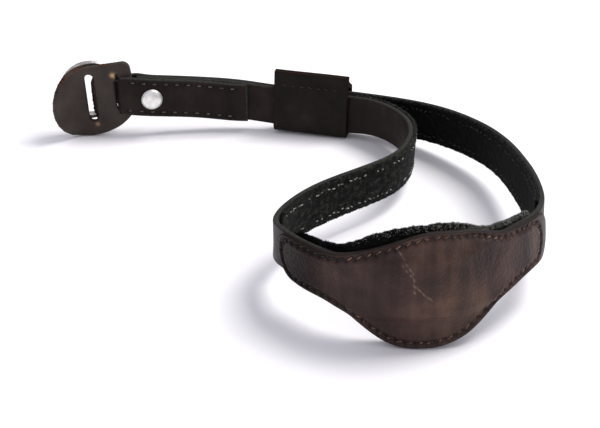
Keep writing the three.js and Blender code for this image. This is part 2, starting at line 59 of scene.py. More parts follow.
def ease(x, start, run):
    """An S-curve from 0 at start to 1 a run later: 3u^2 - 2u^3."""
    u = np.clip((x - start) / run, 0, 1)
    return u * u * (3 - 2 * u)


def circle(angle, across=1.0, up=None):
    """Points on a circle round the origin, or on an ellipse with half axes across and up."""
    return np.stack([across * np.cos(angle), (across if up is None else up) * np.sin(angle)], axis=-1)


def full_turn(count):
    """Evenly spaced angles all the way round."""
    return 2 * np.pi * np.arange(count) / count


def turned(x, y, angle):
    """Both coordinates after a turn about the origin."""
    return x * np.cos(angle) - y * np.sin(angle), x * np.sin(angle) + y * np.cos(angle)


def unit(vectors):
    """The same vectors at length one."""
    return vectors / np.linalg.norm(vectors, axis=-1, keepdims=True)


def nearest_gap(x, y, starts, ends):
    """Distance to the nearest of some straight segments: the foot of the perpendicular lies the share t
    of the way from start to end, kept between 0 and 1."""
    nearest = np.full(x.shape, np.inf)
    for (x0, y0), (x1, y1) in zip(starts, ends):
        dx, dy = x1 - x0, y1 - y0
        t = np.clip(((x - x0) * dx + (y - y0) * dy) / (dx * dx + dy * dy), 0, 1)
        nearest = np.minimum(nearest, np.hypot(x - x0 - t * dx, y - y0 - t * dy))
    return nearest


# %% [markdown]
# ## The bent lath
#
# A strap on edge bends only one way, like a thin wooden lath held at a few places. The curve such a lath
# takes is the natural cubic spline: it passes through every place and is straight at both free ends. One
# system of equations gives its bending at each place, for all the columns of a table at once.

# %% Natural cubic spline through the rows of a table
AHEAD = 0.02  # the lath's direction is taken between two points this far behind and ahead


def bends(places, rows):
    """Second derivatives of the natural cubic at its places. For each inner place, with h the spans on
    either side: h0*m0 + 2*(h0 + h1)*m1 + h1*m2 = 6*(slope after - slope before)."""
    span = np.diff(places)
    slope = np.diff(rows, axis=0) / span[:, None]
    system = np.eye(len(places))
    inner = np.arange(1, len(places) - 1)
    system[inner, inner - 1] = span[:-1]
    system[inner, inner] = 2 * (span[:-1] + span[1:])
    system[inner, inner + 1] = span[1:]
    right = np.zeros_like(rows)
    right[1:-1] = 6 * np.diff(slope, axis=0)
    return np.linalg.solve(system, right)


class Lath:
    """The columns of a table as natural cubics over one running distance."""

    def __init__(self, rows, places=None):
        self.rows = np.asarray(rows, float)
        if places is None:
            steps = np.hypot(*np.diff(self.rows[:, :2], axis=0).T)
            places = np.concatenate([[0], np.cumsum(steps)])
        self.places = np.asarray(places, float)
        self.bends = bends(self.places, self.rows)

    def at(self, distance):
        """Every column at the given distances: with b the share of the span that lies behind and
        a = 1 - b, value = a*v0 + b*v1 + ((a^3 - a)*m0 + (b^3 - b)*m1) * span^2 / 6."""
        s = np.clip(distance, self.places[0], self.places[-1])
        i = np.clip(np.searchsorted(self.places, s) - 1, 0, len(self.places) - 2)
        span = self.places[i + 1] - self.places[i]
        b = ((s - self.places[i]) / span)[..., None]
        a = 1 - b
        line = a * self.rows[i] + b * self.rows[i + 1]
        bow = (a**3 - a) * self.bends[i] + (b**3 - b) * self.bends[i + 1]
        return line + bow * (span**2)[..., None] / 6

    def inward(self, distance):
        """Unit normal in plan, to the left of the way the lath runs: a quarter turn of its tangent."""
        distance = np.asarray(distance)
        tangent = unit((self.at(distance + AHEAD) - self.at(distance - AHEAD))[..., :2])
        return np.stack([-tangent[..., 1], tangent[..., 0]], axis=-1)


# %% [markdown]
# ## The strip's route
#
# The rows below are the places where the strip is held: x and y of its outer face in plan, the height of
# its centre line, how far its top edge leans outward, and its width. The tail and the fold are laid on
# each other, so their rows are worked out from the first layer by the leather's thickness.

# %% Tables of the strip's route
WIDTH = 16.0
THICK = 1.8
GAP = 0.3
SEWN_GAP = 0.4
SUEDE = 1.0
TONGUE = 9.5

# x, y, mid, lean, width
TAIL = [
    (-55.6, 72.9, 17.6, 0, WIDTH),
    (-46.1, 74.9, 16.3, 0, WIDTH),
    (-31.1, 77.3, 14.7, 0, WIDTH),
    (-14.1, 78.1, 12.9, 0, WIDTH),
]
LOOP = [
    (-0.7, 76.8, 11.3, 0, WIDTH),  # keeper, left end
    (18.4, 72.65, 10.5, 0.1, WIDTH),
    (28.2, 70.4, 10.2, 0.15, WIDTH),  # keeper, right end
    (33.9, 67.1, 11.0, 0.5, WIDTH),
    (46.5, 49.5, 12.7, 0.3, WIDTH),  # strand A leaves in a wide bend
    (48.2, 27.7, 14.4, -0.5, WIDTH),
    (41.7, 9.7, 15.1, -0.8, WIDTH),
    (27.3, -5.0, 15.6, -0.8, WIDTH),
    (10.4, -21.1, 15.9, -0.7, WIDTH),
    (1.0, -37.6, 16.4, -0.7, WIDTH),
    (0.5, -47.0, 17.7, 0.3, WIDTH),  # left turn, round to the pad
    (1.9, -52.7, 19.0, 0.8, WIDTH),
    (9.5, -65.6, 20.2, 0.6, WIDTH),
    (31.3, -80.7, 20.8, 0.2, WIDTH),  # middle of the pad
    (56.9, -78.2, 21.4, -0.9, WIDTH),
    (70.1, -67.3, 22.0, -1.6, WIDTH),
    (84.8, -49.0, 21.4, -0.8, WIDTH),  # right turn
    (88.7, -29.3, 19.6, 0, WIDTH),
    (86.6, 2.3, 17.6, 0, WIDTH),  # strand B
    (80.7, 29.5, 15.1, -0.6, WIDTH),
    (65.3, 53.8, 13.1, -0.8, WIDTH),
    (50.4, 67.4, 11.2, -0.8, WIDTH),
    (29.6, 76.85, 10.2, -0.2, WIDTH),  # keeper, right end
    (19.8, 78.8, 10.5, -0.1, WIDTH),
    (0.2, 80.7, 11.3, 0, WIDTH),  # keeper, left end
]
PIVOT = np.array([-65.3, 80.0, 18.2])
TURN_RADIUS = 2.5 + THICK  # the fold's hollow and the leather round it
TURN_BEARINGS = [90, 135, 180, 225, 270]
INTO_FOLD = [
    (-52.6, 77.5, 17.2, 0, WIDTH),
    (-56.6, 77.65, 17.8, 0, 15.6),
    (-59.9, 79.5, 18.1, 0, 12.5),
    (-61.8, 82.8, 18.2, 0, 10.2),
]
OUT_OF_FOLD = [
    (-64.84, 75.56, 18.2, 0, TONGUE),
    (-64.52, 75.1, 18.2, 0, TONGUE),
    (-63.54, 72.41, 18.1, 0, 12.4),  # in the slit
    (-62.58, 71.17, 18.1, 0, 14.8),
    (-61.09, 70.7, 18.0, 0, 15.7),
    (-58.7, 70.56, 17.9, 0, 16),
    (-55.6, 70.75, 17.6, 0, WIDTH),
]
FRONT_PAST = [2, -0.05, 0, 0, 0]  # the cut end lies this far past the last row of the front layer


def layered(rows, offset):
    """The rows moved square to their own run, to lay one layer on another."""
    lath = Lath(rows)
    moved = lath.rows.copy()
    moved[:, :2] += lath.inward(lath.places) * offset
    return moved


def turn_rows(bearings):
    """Rows on the turn round the pivot: a circle of the hollow's radius plus the leather."""
    plan = PIVOT[:2] + circle(np.radians(bearings), TURN_RADIUS)
    return np.hstack([plan, np.tile([PIVOT[2], 0, TONGUE], (len(plan), 1))])


to_keeper = TAIL + [LOOP[0]]
tail_of_b = layered(to_keeper, 2 * THICK + GAP)[1:4][::-1]
front_layer = layered(to_keeper, -THICK - GAP)[1:4]
route = [TAIL, LOOP, tail_of_b, INTO_FOLD, turn_rows(TURN_BEARINGS), OUT_OF_FOLD, front_layer]
strip = Lath(np.vstack([*route, front_layer[-1] + FRONT_PAST]))
LOOP_START = strip.places[len(TAIL)]
STRIP_END = strip.places[-1]
print(f"the strip is {STRIP_END:.0f} mm long; the loop starts at {LOOP_START:.1f} mm")


# %% Any point in the strip's own space
def on_strip(s, height, offset):
    """Millimetre points: the plan point at s, moved along the inward normal by offset less the lean's
    share (2 * lean * height / width), and raised to the centre line's height plus height."""
    s, height, offset = np.broadcast_arrays(s, height, offset)
    row = strip.at(s)
    out = offset - 2 * row[..., 3] * height / WIDTH
    plan = row[..., :2] + strip.inward(s) * out[..., None]
    return np.concatenate([plan, (row[..., 2] + height)[..., None]], axis=-1)


# %% [markdown]
# ## From arrays to meshes
#
# Every soft piece below is a closed surface made of rings: one ring of points per station, each joined
# to the next by quads. Where a piece ends, its ring shrinks to nothing and the doubled points are
# merged, so that the surface is closed without a separate cap. Numbers that a material needs (where a
# point lies on the strip, how close to a cut edge it is) go with the points as attributes.

# %% Mesh helpers
WELD = 0.002  # points closer than this are one point


def ring_faces(rings, around):
    """Quads between each ring of points and the next, all the way round."""
    i = np.arange(rings - 1)[:, None] * around
    j = np.arange(around)[None, :]
    k = (j + 1) % around
    return np.stack([i + j, i + k, i + around + k, i + around + j], axis=-1).reshape(-1, 4)


def build(
    name, points, faces, material, nodes=(), slot=None, attributes=None, body="strap_body", weld=WELD
):
    """A piece from millimetre points and faces: merges points closer than weld, turns its faces
    outward, smooths it, and rides it on a body in place of the named CAD nodes."""
    mesh = bpy.data.meshes.new(name)
    mesh.from_pydata(np.asarray(points).reshape(-1, 3) * MM, [], np.asarray(faces).tolist())
    for key, values in (attributes or {}).items():
        values = np.asarray(values, np.float32)
        kind, field = ("FLOAT_VECTOR", "vector") if values.ndim > 1 else ("FLOAT", "value")
        mesh.attributes.new(key, kind, "POINT").data.foreach_set(field, values.ravel())
    work = bmesh.new()
    work.from_mesh(mesh)
    bmesh.ops.remove_doubles(work, verts=work.verts, dist=weld * MM)
    bmesh.ops.recalc_face_normals(work, faces=work.faces)
    work.to_mesh(mesh)
    work.free()
    mesh.polygons.foreach_set("use_smooth", np.ones(len(mesh.polygons), bool))
    piece = bpy.data.objects.new(name, mesh)
    bpy.context.scene.collection.objects.link(piece)
    piece.data.materials.append(material)
    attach(piece, body)
    if nodes:
        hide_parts(*nodes)
    print(f"{name}: {sum(len(face.vertices) - 2 for face in mesh.polygons)} triangles")
    return piece


# %% [markdown]
# ## Layers of leather
#
# A layer on the strip is given by where its lower and upper edges run and where its two faces lie. A
# cut leather edge isn't sharp: over the last millimetre both faces roll towards each other. So the
# layer's half thickness is multiplied by a superellipse of the distance to the nearest edge, which is
# zero at the edge and one inside. The rows of points crowd into that rolled margin.

# %% A layer that follows the strip
MARGIN = np.array([0, 0.05, 0.14, 0.28, 0.48, 0.75, 1.1])
MARGIN_ROOM = 0.2  # both margins shrink once less than this is left between them
TINY = 1e-6


def rows_between(low, high, inside):
    """Heights from low to high at every station: crowded into both margins, even between them."""
    reach = np.minimum(1, (high - low) / 2 / (MARGIN[-1] + MARGIN_ROOM))[:, None]
    below = low[:, None] + MARGIN * reach
    above = high[:, None] - MARGIN[::-1] * reach
    share = np.linspace(0, 1, inside + 2)[1:-1]
    middle = below[:, -1:] + share * (above[:, :1] - below[:, -1:])
    return np.concatenate([below, middle, above], axis=1)


def stations(start, end, step, dense=MARGIN):
    """Distances from start to end about step apart, crowded into both end margins."""
    inner = np.linspace(start + dense[-1], end - dense[-1], int((end - start) / step))
    return np.concatenate([start + dense[:-1], inner, (end - dense[:-1])[::-1]])


def roll(distance, edge, power):
    """Share of the full thickness at a distance from the edge: (1 - (1 - distance/edge)^p)^(1/p)."""
    u = np.clip(distance / edge, 0, 1)
    return (1 - (1 - u) ** power) ** (1 / power)


def both_faces(inner, outer):
    """Values for a layer's rings: up its inner face, then back down its outer one."""
    return np.concatenate([inner, outer[:, -2:0:-1]], axis=1)


def layer(s, low, high, outer, inner, inside, edge=0.9, power=2.6, relief=None):
    """Rings of points for a layer between heights low and high, with faces at offsets outer and inner.
    relief(s, h) raises the outer face. "flow" is along, across and 1 on the outer face; "rim" is one at
    a cut edge."""
    height = rows_between(low, high, inside)
    along = np.broadcast_to(s[:, None], height.shape)
    across_gap = np.maximum(np.minimum(height - low[:, None], high[:, None] - height), TINY)
    along_gap = np.maximum(np.minimum(along - s[0], s[-1] - along), TINY)
    distance = 1 / np.sqrt(1 / across_gap**2 + 1 / along_gap**2)
    full = roll(distance, edge, power)
    outer_at = outer(along, height)
    inner_at = inner(along, height)
    middle = (outer_at + inner_at) / 2
    half = (inner_at - outer_at) / 2 * full
    raised = relief(along, height) * full if relief else 0
    outer_face = on_strip(along, height, middle - half - raised)
    rings = both_faces(on_strip(along, height, middle + half), outer_face)
    rim = 1 - np.clip(distance / edge, 0, 1)
    side = np.zeros_like(height)
    flow = [both_faces(along, along), both_faces(height, height), both_faces(side, side + 1)]
    attributes = {
        "flow": np.stack(flow, axis=-1).reshape(-1, 3),
        "rim": both_faces(rim, rim).ravel(),
    }
    return {"points": rings, "faces": ring_faces(*rings.shape[:2]), "attributes": attributes}


def rounded_share(s, radius_start, radius_end):
    """Share of full height near rounded ends: sqrt(1 - (1 - distance/radius)^2) from either end."""
    share = np.ones_like(s)
    for distance, radius in ((s - s[0], radius_start), (s[-1] - s, radius_end)):
        if radius:
            share = np.minimum(share, np.sqrt(1 - (1 - np.clip(distance / radius, 0, 1)) ** 2))
    return share


# %% [markdown]
# ## Materials
#
# Each finish starts from the real one. The strip is drum-dyed, waxed cowhide: almost black, a satin
# sheen, a fine grain, and edges left raw, so that they show grey fibre. The pad is the same hide in
# brown with its grain up, marked by a few creases, its left end darkened by painted shade and its middle
# palest. Its gloss is a thin coat of wax, thinned by the same painted shade. Suede is leather split and
# brushed: no gloss, a mottled nap, pale flecks painted as highlights where single fibres catch the
# light. Its loose fibres are grey on the linings and near black round the pad, paler along the pad's
# right end. Threads are waxed polyester, the ring spring steel and the rivet nickel plated.
#
# Colours are written as sRGB hex and turned to linear by one function. The patterns read the "flow"
# attribute, which holds millimetres along and across the strip, so a scale is one over a real size.


# %% Node helpers
def linear(hex_colour):
    """sRGB hex to linear RGBA: below 0.04045 divide by 12.92, above it ((c + 0.055) / 1.055)^2.4."""
    value = np.array([int(hex_colour[i : i + 2], 16) / 255 for i in (1, 3, 5)])
    low = value / 12.92
    high = ((value + 0.055) / 1.055) ** 2.4
    return (*np.where(value <= 0.04045, low, high), 1.0)


def add(tree, kind, inputs=None, out=None, stops=(), blend="LINEAR", **settings):
    """Adds one node and gives its output called out, or else its first output in use. settings are its
    properties, and inputs its sockets' values or what is linked to them. A colour ramp's stops are
    (position, hex colour), with blend between them."""
    node = tree.nodes.new("ShaderNode" + kind)
    for key, value in settings.items():
        setattr(node, key, value)
    for key, value in (inputs or {}).items():
        if isinstance(value, bpy.types.NodeSocket):
            tree.links.new(value, node.inputs[key])
        else:
            node.inputs[key].default_value = value
    if stops:
        node.color_ramp.interpolation = blend
        elements = node.color_ramp.elements
        while len(elements) < len(stops):
            elements.new(0.5)
        for element, (position, colour) in zip(elements, stops):
            element.position = position
            element.color = linear(colour)
    return node.outputs[out] if out else next((o for o in node.outputs if o.enabled), None)


def start_material(name):
    """A material and its empty node tree."""
    material = bpy.data.materials.new(name)
    material.use_nodes = True
    material.node_tree.nodes.clear()
    return material, material.node_tree


def surface(tree, sockets):
    """Ends a tree: a Principled shader with these values and links, and the material's output."""
    add(tree, "OutputMaterial", {"Surface": add(tree, "BsdfPrincipled", sockets)})


def matt_material(name, colour, roughness=1.0, gloss=0.0):
    """One colour all over, and next to no shine."""
    material, tree = start_material(name)
    surface(tree, {"Base Color": linear(colour), "Roughness": roughness, "Specular IOR Level": gloss})
    return material


# %% Waxed leather
PATCH_MM = 14  # lighter and darker patches of the dye
STREAK_MM = 6
STREAK_STRETCH = 0.16
FELT_MM = 0.55  # clumps of fibre on a raw edge


def waxed_leather(
    name, tones, edge_tones, grain_mm, grain_depth, streak, roughness, gloss,
    coords="flow", crease="#8a7768", contrast=0.16, coat=0.0, painted_shade_drift=None,
):
    """Dyed and waxed hide. Tones run from its darkest to its lightest patch; streaks are where the
    hide was pulled up over a bend; the raw edge shows felted fibre in edge_tones. The last argument is
    a start, an end and stops: a tint along the strip, painted shade at one end and a paler middle, that
    dims the colour and the coat of wax together."""
    material, tree = start_material(name)
    if coords == "flow":
        place = add(tree, "Attribute", out="Vector", attribute_name="flow")
    else:
        metres = add(tree, "TexCoord", out="Object")
        place = add(tree, "VectorMath", {0: metres, 1: (1 / MM,) * 3}, operation="MULTIPLY")
    mottle = {"Scale": 1 / PATCH_MM, "Detail": 5, "Roughness": 0.55}
    patch = add(tree, "TexNoise", {"Vector": place, **mottle})
    pulled = add(tree, "Mapping", {"Vector": place, "Scale": (1, STREAK_STRETCH, 1)})
    drawn = {"Scale": 1 / STREAK_MM, "Detail": 4, "Roughness": 0.6}
    streaks = add(tree, "TexNoise", {"Vector": pulled, **drawn})
    tone = add(tree, "Mix", {"Factor": streak, "A": patch, "B": streaks})
    span = {"From Min": 0.5 - contrast, "From Max": 0.5 + contrast}
    spread = add(tree, "MapRange", {"Value": tone, **span})
    face = add(tree, "ValToRGB", {"Fac": spread}, stops=list(zip(np.linspace(0, 1, len(tones)), tones)))
    pores = add(tree, "TexVoronoi", {"Vector": place, "Scale": 1 / grain_mm}, feature="SMOOTH_F1")
    fine = add(tree, "TexNoise", {"Vector": place, "Scale": 2.6 / grain_mm, "Detail": 3})
    grain = add(tree, "Mix", {"Factor": 0.45, "A": pores, "B": fine})
    felt = add(tree, "TexNoise", {"Vector": place, "Scale": 1 / FELT_MM, "Detail": 6, "Roughness": 0.7})
    edge = add(tree, "ValToRGB", {"Fac": felt}, stops=list(zip((0.3, 0.62, 0.75), edge_tones)))
    rim = add(tree, "Attribute", out="Fac", attribute_name="rim")
    felted = add(tree, "Math", {0: rim, 1: felt}, operation="MULTIPLY")
    bare = add(tree, "MapRange", {"Value": felted, "From Min": 0.12, "From Max": 0.3})
    relief = add(tree, "Mix", {"Factor": bare, "A": grain, "B": felt})
    bump = add(tree, "Bump", {"Height": relief, "Strength": 0.8, "Distance": grain_depth * MM})
    wax = {}
    if painted_shade_drift:
        # A tint along the strip: painted shade darkens the pad's left end, and the middle is palest.
        start, end, stops = painted_shade_drift
        run = add(tree, "SeparateXYZ", {"Vector": place})
        share = add(tree, "MapRange", {"Value": run, "From Min": start, "From Max": end})
        shade_tint = add(tree, "ValToRGB", {"Fac": share}, stops=stops, blend="EASE")
        face = add(
            tree, "Mix", {"Factor": 1.0, "A": face, "B": shade_tint}, data_type="RGBA", blend_type="MULTIPLY"
        )
        # The wax coat is thinned by the same painted shade as the colour.
        left = add(tree, "Math", {0: shade_tint, 1: coat}, operation="MULTIPLY")
        wax = {"Coat Weight": left, "Coat Roughness": roughness, "Coat Normal": bump}
    # Creases are lighter hide; the second mark is painted shade in needle holes and along the pad seam's
    # groove.
    for mark, shade in (("crease", crease), ("hole", "#080504")):
        amount = add(tree, "Attribute", out="Fac", attribute_name=mark)
        face = add(tree, "Mix", {"Factor": amount, "A": face, "B": linear(shade)}, data_type="RGBA")
    colour = add(tree, "Mix", {"Factor": bare, "A": face, "B": edge}, data_type="RGBA")
    span = {"From Min": 0.3, "From Max": 0.7, "To Min": roughness + 0.09, "To Max": roughness - 0.07}
    satin = add(tree, "MapRange", {"Value": patch, **span})
    matt = add(tree, "Mix", {"Factor": bare, "A": satin, "B": 0.92})
    shine = {"Roughness": matt, "IOR": 1.5, "Specular IOR Level": gloss}
    surface(tree, {"Base Color": colour, "Normal": bump, **shine, **wax})
    return material


# %% Suede
BRUSHED_MM = 2.2  # the patches in which the nap lies one way


def suede(name, tones, fleck, fleck_amount, nap_mm, depth):
    """Split leather, brushed: dark fibre lying in patches, with pale flecks where single fibres catch
    the light. It has no gloss of its own, only the soft sheen of a nap."""
    material, tree = start_material(name)
    place = add(tree, "Attribute", out="Vector", attribute_name="flow")
    brushed = {"Scale": 1 / BRUSHED_MM, "Detail": 6, "Roughness": 0.68}
    lie = add(tree, "TexNoise", {"Vector": place, **brushed})
    face = add(tree, "ValToRGB", {"Fac": lie}, stops=list(zip((0.32, 0.5, 0.68), tones)))
    nap = add(tree, "TexNoise", {"Vector": place, "Scale": 1 / nap_mm, "Detail": 5, "Roughness": 0.75})
    # Pale flecks: painted highlights where single fibres catch the light.
    first, last = 0.66 - fleck_amount, 0.76 - fleck_amount
    spots = add(tree, "MapRange", {"Value": nap, "From Min": first, "From Max": last})
    colour = add(tree, "Mix", {"Factor": spots, "A": face, "B": linear(fleck)}, data_type="RGBA")
    bump = add(tree, "Bump", {"Height": nap, "Strength": 1.0, "Distance": depth * MM})
    sheen = {"Specular IOR Level": 0.05, "Sheen Weight": 0.03, "Sheen Roughness": 0.5}
    surface(tree, {"Base Color": colour, "Roughness": 1.0, "Normal": bump, **sheen})
    return material


# %% Thread and metal
PLY_MM = 0.9


def waxed_thread(name, colour, light):
    """Waxed polyester thread: a low gloss, lighter where its plies catch the light."""
    material, tree = start_material(name)
    place = add(tree, "TexCoord", out="Object")
    plies = add(tree, "TexNoise", {"Vector": place, "Scale": 1 / (PLY_MM * MM), "Detail": 3})
    tone = add(tree, "ValToRGB", {"Fac": plies}, stops=[(0.4, colour), (0.66, light)])
    bump = add(tree, "Bump", {"Height": plies, "Strength": 0.5, "Distance": 0.05 * MM})
    surface(tree, {"Base Color": tone, "Normal": bump, "Roughness": 0.5, "Specular IOR Level": 0.3})
    return material


def plated_metal(name, colour, dull, roughness, wear_mm, wear_depth=0.02):
    """Nickel plate on pressed steel: bright, with faint rubbed patches."""
    material, tree = start_material(name)
    place = add(tree, "TexCoord", out="Object")
    rubbed = add(tree, "TexNoise", {"Vector": place, "Scale": 1 / (wear_mm * MM), "Detail": 5})
    tone = add(tree, "ValToRGB", {"Fac": rubbed}, stops=[(0.38, dull), (0.6, colour)])
    span = {"From Min": 0.3, "From Max": 0.7, "To Min": roughness + 0.12, "To Max": roughness}
    satin = add(tree, "MapRange", {"Value": rubbed, **span})
    bump = add(tree, "Bump", {"Height": rubbed, "Strength": 0.3, "Distance": wear_depth * MM})
    surface(tree, {"Base Color": tone, "Metallic": 1.0, "Roughness": satin, "Normal": bump})
    return material


# %% The finishes of this strap
PAD_START = LOOP_START + 180
PAD_LENGTH = 109.0
# Tints along the pad: painted shade darkens its left end; its middle is palest.
PAD_SHADE_TINTS = [
    (0.0, "#675f61"),  # painted shade, darkest at the left end
    (0.14, "#746a6b"),
    (0.31, "#cbc3c2"),
    (0.44, "#c9bcbc"),
    (0.56, "#e2d2bf"),  # palest and warmest in the middle
    (0.7, "#bdb3b0"),
    (1.0, "#b6acad"),
]
strap_leather = waxed_leather(
    "waxed cowhide, near black",
    tones=["#191310", "#211a17", "#2b2320"],
    edge_tones=["#181816", "#3a3a37", "#6c6c65"],
    grain_mm=0.9, grain_depth=0.09, streak=0.35, roughness=0.46, gloss=0.08,
)
pad_cowhide = waxed_leather(
    "pull-up cowhide, brown",
    tones=["#33231f", "#45342f", "#56423c", "#6b5547"],
    edge_tones=["#120d0b", "#211814", "#3b2c22"],
    grain_mm=0.85, grain_depth=0.6, streak=0.45, roughness=0.33, gloss=0.03,
    contrast=0.125, coat=0.6, painted_shade_drift=(PAD_START, PAD_START + PAD_LENGTH, PAD_SHADE_TINTS),
)
tab_leather = waxed_leather(
    "bridle leather, umber",
    tones=["#332c29", "#3c3531", "#453d38"],
    edge_tones=["#1d1512", "#4d3625", "#86684a"],
    grain_mm=0.8, grain_depth=0.05, streak=0.25, roughness=0.55, gloss=0.08,
    coords="object", crease="#c3a078",
)
keeper_leather = waxed_leather(
    "waxed cowhide, dark brown",
    tones=["#14110e", "#1b1714", "#25201c"],
    edge_tones=["#17100d", "#261912", "#43301f"],
    grain_mm=0.9, grain_depth=0.07, streak=0.3, roughness=0.5, gloss=0.08,
    coords="object",
)
strand_suede = suede(
    "brushed suede, charcoal",
    ["#050505", "#121211", "#373832"], "#85867d", 0.045, nap_mm=0.7, depth=0.25,
)
# Strand B's suede: a darker copy of the same suede, its darkness painted shade.
shaded_suede = suede(
    "brushed suede, charcoal, painted shade",
    ["#030303", "#070707", "#121311"], "#3f403b", 0.0, nap_mm=0.7, depth=0.25,
)
pad_suede = suede(
    "brushed suede, black",
    ["#050505", "#0b0c0c", "#181a19"], "#8a8d88", 0.02, nap_mm=0.6, depth=0.4,
)
loose_fibre = matt_material("loose suede fibre", "#131312")
grey_fibre = matt_material("loose suede fibre, rubbed grey", "#4a4a46")
pale_fibre = matt_material("suede fibre, pale", "#a3a49d")
pad_thread = waxed_thread("waxed thread, brown", "#1f1512", "#8d6c55")
tail_thread = waxed_thread("waxed thread, black", "#2b2723", "#676158")
# Black thread, also used as painted shade on strand B and on the pad's left end.
dark_and_shaded_thread = waxed_thread("waxed thread, black, also painted shade", "#161411", "#34352c")
pale_thread = waxed_thread("waxed thread, grey", "#3c3d39", "#b9bab2")
nickel = plated_metal("satin nickel", "#f0efec", "#dedcd8", 0.36, wear_mm=2.5)
steel = plated_metal("plated spring steel", "#c6c4bf", "#a09d97", 0.22, wear_mm=1.6, wear_depth=0.008)
print(len(bpy.data.materials), "materials")

# %% [markdown]
# ## Stitches
#
# A stitch is a short thread that lies on the leather between two holes and dives into both. Its path
# is read on the face itself, lifted by a low arch, and a round section is carried along it. All the
# stitches of a seam are one array, so a seam of ninety stitches is one mesh.

# %% Threads along a seam
NEAR = 0.2  # a face's normal is taken from points this far along and across it
AT_ONCE = 8  # stitches measured together, which keeps the arrays small


def as_seam(s, h, angle):
    """A seam's rows: how far along and across each stitch lies, and its turn from the strip's run."""
    return np.array(np.broadcast_arrays(s, h, angle))


def sew(name, thread, face, seam, length, radius, lift):
    """A seam's stitches on a face(s, h) -> points. A thread's path is the face's line between its
    holes plus an arch along the face's normal, lift * (1 - 2.2 t^4) for t from -1 to 1, and its
    section a circle, whose radius closes at both ends as sqrt(1 - t^6)."""
    s, h, angle, length = (row[:, None] for row in np.broadcast_arrays(*seam, length))
    t = np.linspace(-1, 1, 9)
    s_path = s + t * np.cos(angle) * length / 2
    h_path = h + t * np.sin(angle) * length / 2
    base = face(s_path, h_path)
    normal = unit(np.cross(face(s_path + NEAR, h_path) - base, face(s_path, h_path + NEAR) - base))
    path = base + normal * (lift * (1 - 2.2 * t**4))[:, None]
    tangent = unit(np.gradient(path, axis=1))
    side = unit(np.cross(tangent, normal))
    frames = np.stack([side, np.cross(side, tangent)], axis=2)
    girth = radius * np.sqrt(np.clip(1 - t**6, 0, 1))[:, None, None]
    around = circle(full_turn(6))
    points = path[:, :, None] + girth * (around @ frames)
    first = np.arange(len(s))[:, None, None] * len(t) * len(around)
    return build(name, points, (ring_faces(len(t), len(around)) + first).reshape(-1, 4), thread)


def holes(flow, seam, length, size):
    """Painted shade in the needle's holes at a layer's points: exp(-(gap/size)^2) of the distance to the
    nearest end of a stitch, on the outer face only (where the flow's third number is 1)."""
    half = circle(seam[2]).T * length / 2
    nearest = np.full(len(flow), np.inf)
    for end_s, end_h in np.hstack([seam[:2] - half, seam[:2] + half]).T:
        nearest = np.minimum(nearest, (flow[:, 0] - end_s) ** 2 + (flow[:, 1] - end_h) ** 2)
    return np.exp(-nearest / size**2) * flow[:, 2]


def groove(s, h, seam, length, width, depth):
    """How far a seam pulls the leather down at (s, h): depth * exp(-(gap/width)^2), where gap is the
    distance to the nearest stitch, taken as the segment between its holes."""
    pulled = np.zeros(s.shape)
    for i in range(0, seam.shape[1], AT_ONCE):
        seam_s, seam_h, angle = seam[:, i : i + AT_ONCE]
        ds, dh = s[..., None] - seam_s, h[..., None] - seam_h
        run = np.clip(ds * np.cos(angle) + dh * np.sin(angle), -length / 2, length / 2)
        gap2 = (ds - run * np.cos(angle)) ** 2 + (dh - run * np.sin(angle)) ** 2
        pulled = np.maximum(pulled, depth * np.exp(-gap2.min(axis=-1) / width**2))
    return pulled


# %% [markdown]
# ## The strip
#
# One layer from the cut end under the rivet to the cut end on top of it. It is modelled along its whole
# length, also where the pad and keeper hide it, because the real one is one piece and it shows again at
# every end. Where the tail is sewn, the stitches pull dimples into the top layer.

# %% The strip and the tail's seams
TAIL_SEAM = 5.9  # height of the tail's two rows of stitches
TAIL_PITCH = 4.4
TAIL_STAGGER = 1.2  # the lower row lags behind the upper one
TAIL_HOLES = 2.6  # between a stitch's two holes; the thread shows for less
FRONT_START = STRIP_END - 45.5  # where the top layer comes out of the fold
DIMPLE_WIDTH = 0.75
DIMPLE_DEPTH = 0.32

tail_s = np.arange(FRONT_START, STRIP_END - 2.4, TAIL_PITCH)
tail_rows = np.repeat([TAIL_SEAM, -TAIL_SEAM], len(tail_s))
tail_seam = as_seam(np.concatenate([tail_s, tail_s - TAIL_STAGGER]), tail_rows, 0.12)


def strap_relief(s, h):
    """The tail's seams, and a slow unevenness of the hide along its whole run."""
    uneven = 0.05 * np.sin(s / 5.3 + h / 4) * np.sin(s / 11.9 - h / 7)
    pulled = np.zeros(s.shape)
    rows = (s > FRONT_START - 6).any(axis=1)
    pulled[rows] = groove(s[rows], h[rows], tail_seam, TAIL_HOLES, DIMPLE_WIDTH, DIMPLE_DEPTH)
    return uneven - pulled


def tail_face(s, h):
    """The top layer's outer face, with its dimples."""
    return on_strip(s, h, -strap_relief(s, h))


s = stations(0, STRIP_END, 0.62)
half = strip.at(s)[:, 4] / 2
hide = layer(s, -half, half, lambda s, h: 0 * h, lambda s, h: 0 * h + THICK, 14, relief=strap_relief)
# Painted shade in the tail's needle holes.
hide["attributes"]["hole"] = holes(hide["attributes"]["flow"], tail_seam, TAIL_HOLES, 0.45)
build("strap_leather", **hide, material=strap_leather, nodes=["strap"], slot="strap_leather")
sew("tail_stitches", tail_thread, tail_face, tail_seam, length=1.7, radius=0.3, lift=0.08)

# %% [markdown]
# ## The strand linings
#
# Both strands are faced with suede on the side that touches the wrist. The suede is cut a hair proud of
# the leather and its edge frays, so its rim is wavy and a fringe of short fibres stands out of it. It is
# sewn in two rows with a pale thread; on strand B suede and thread are drawn darker, as painted shade.

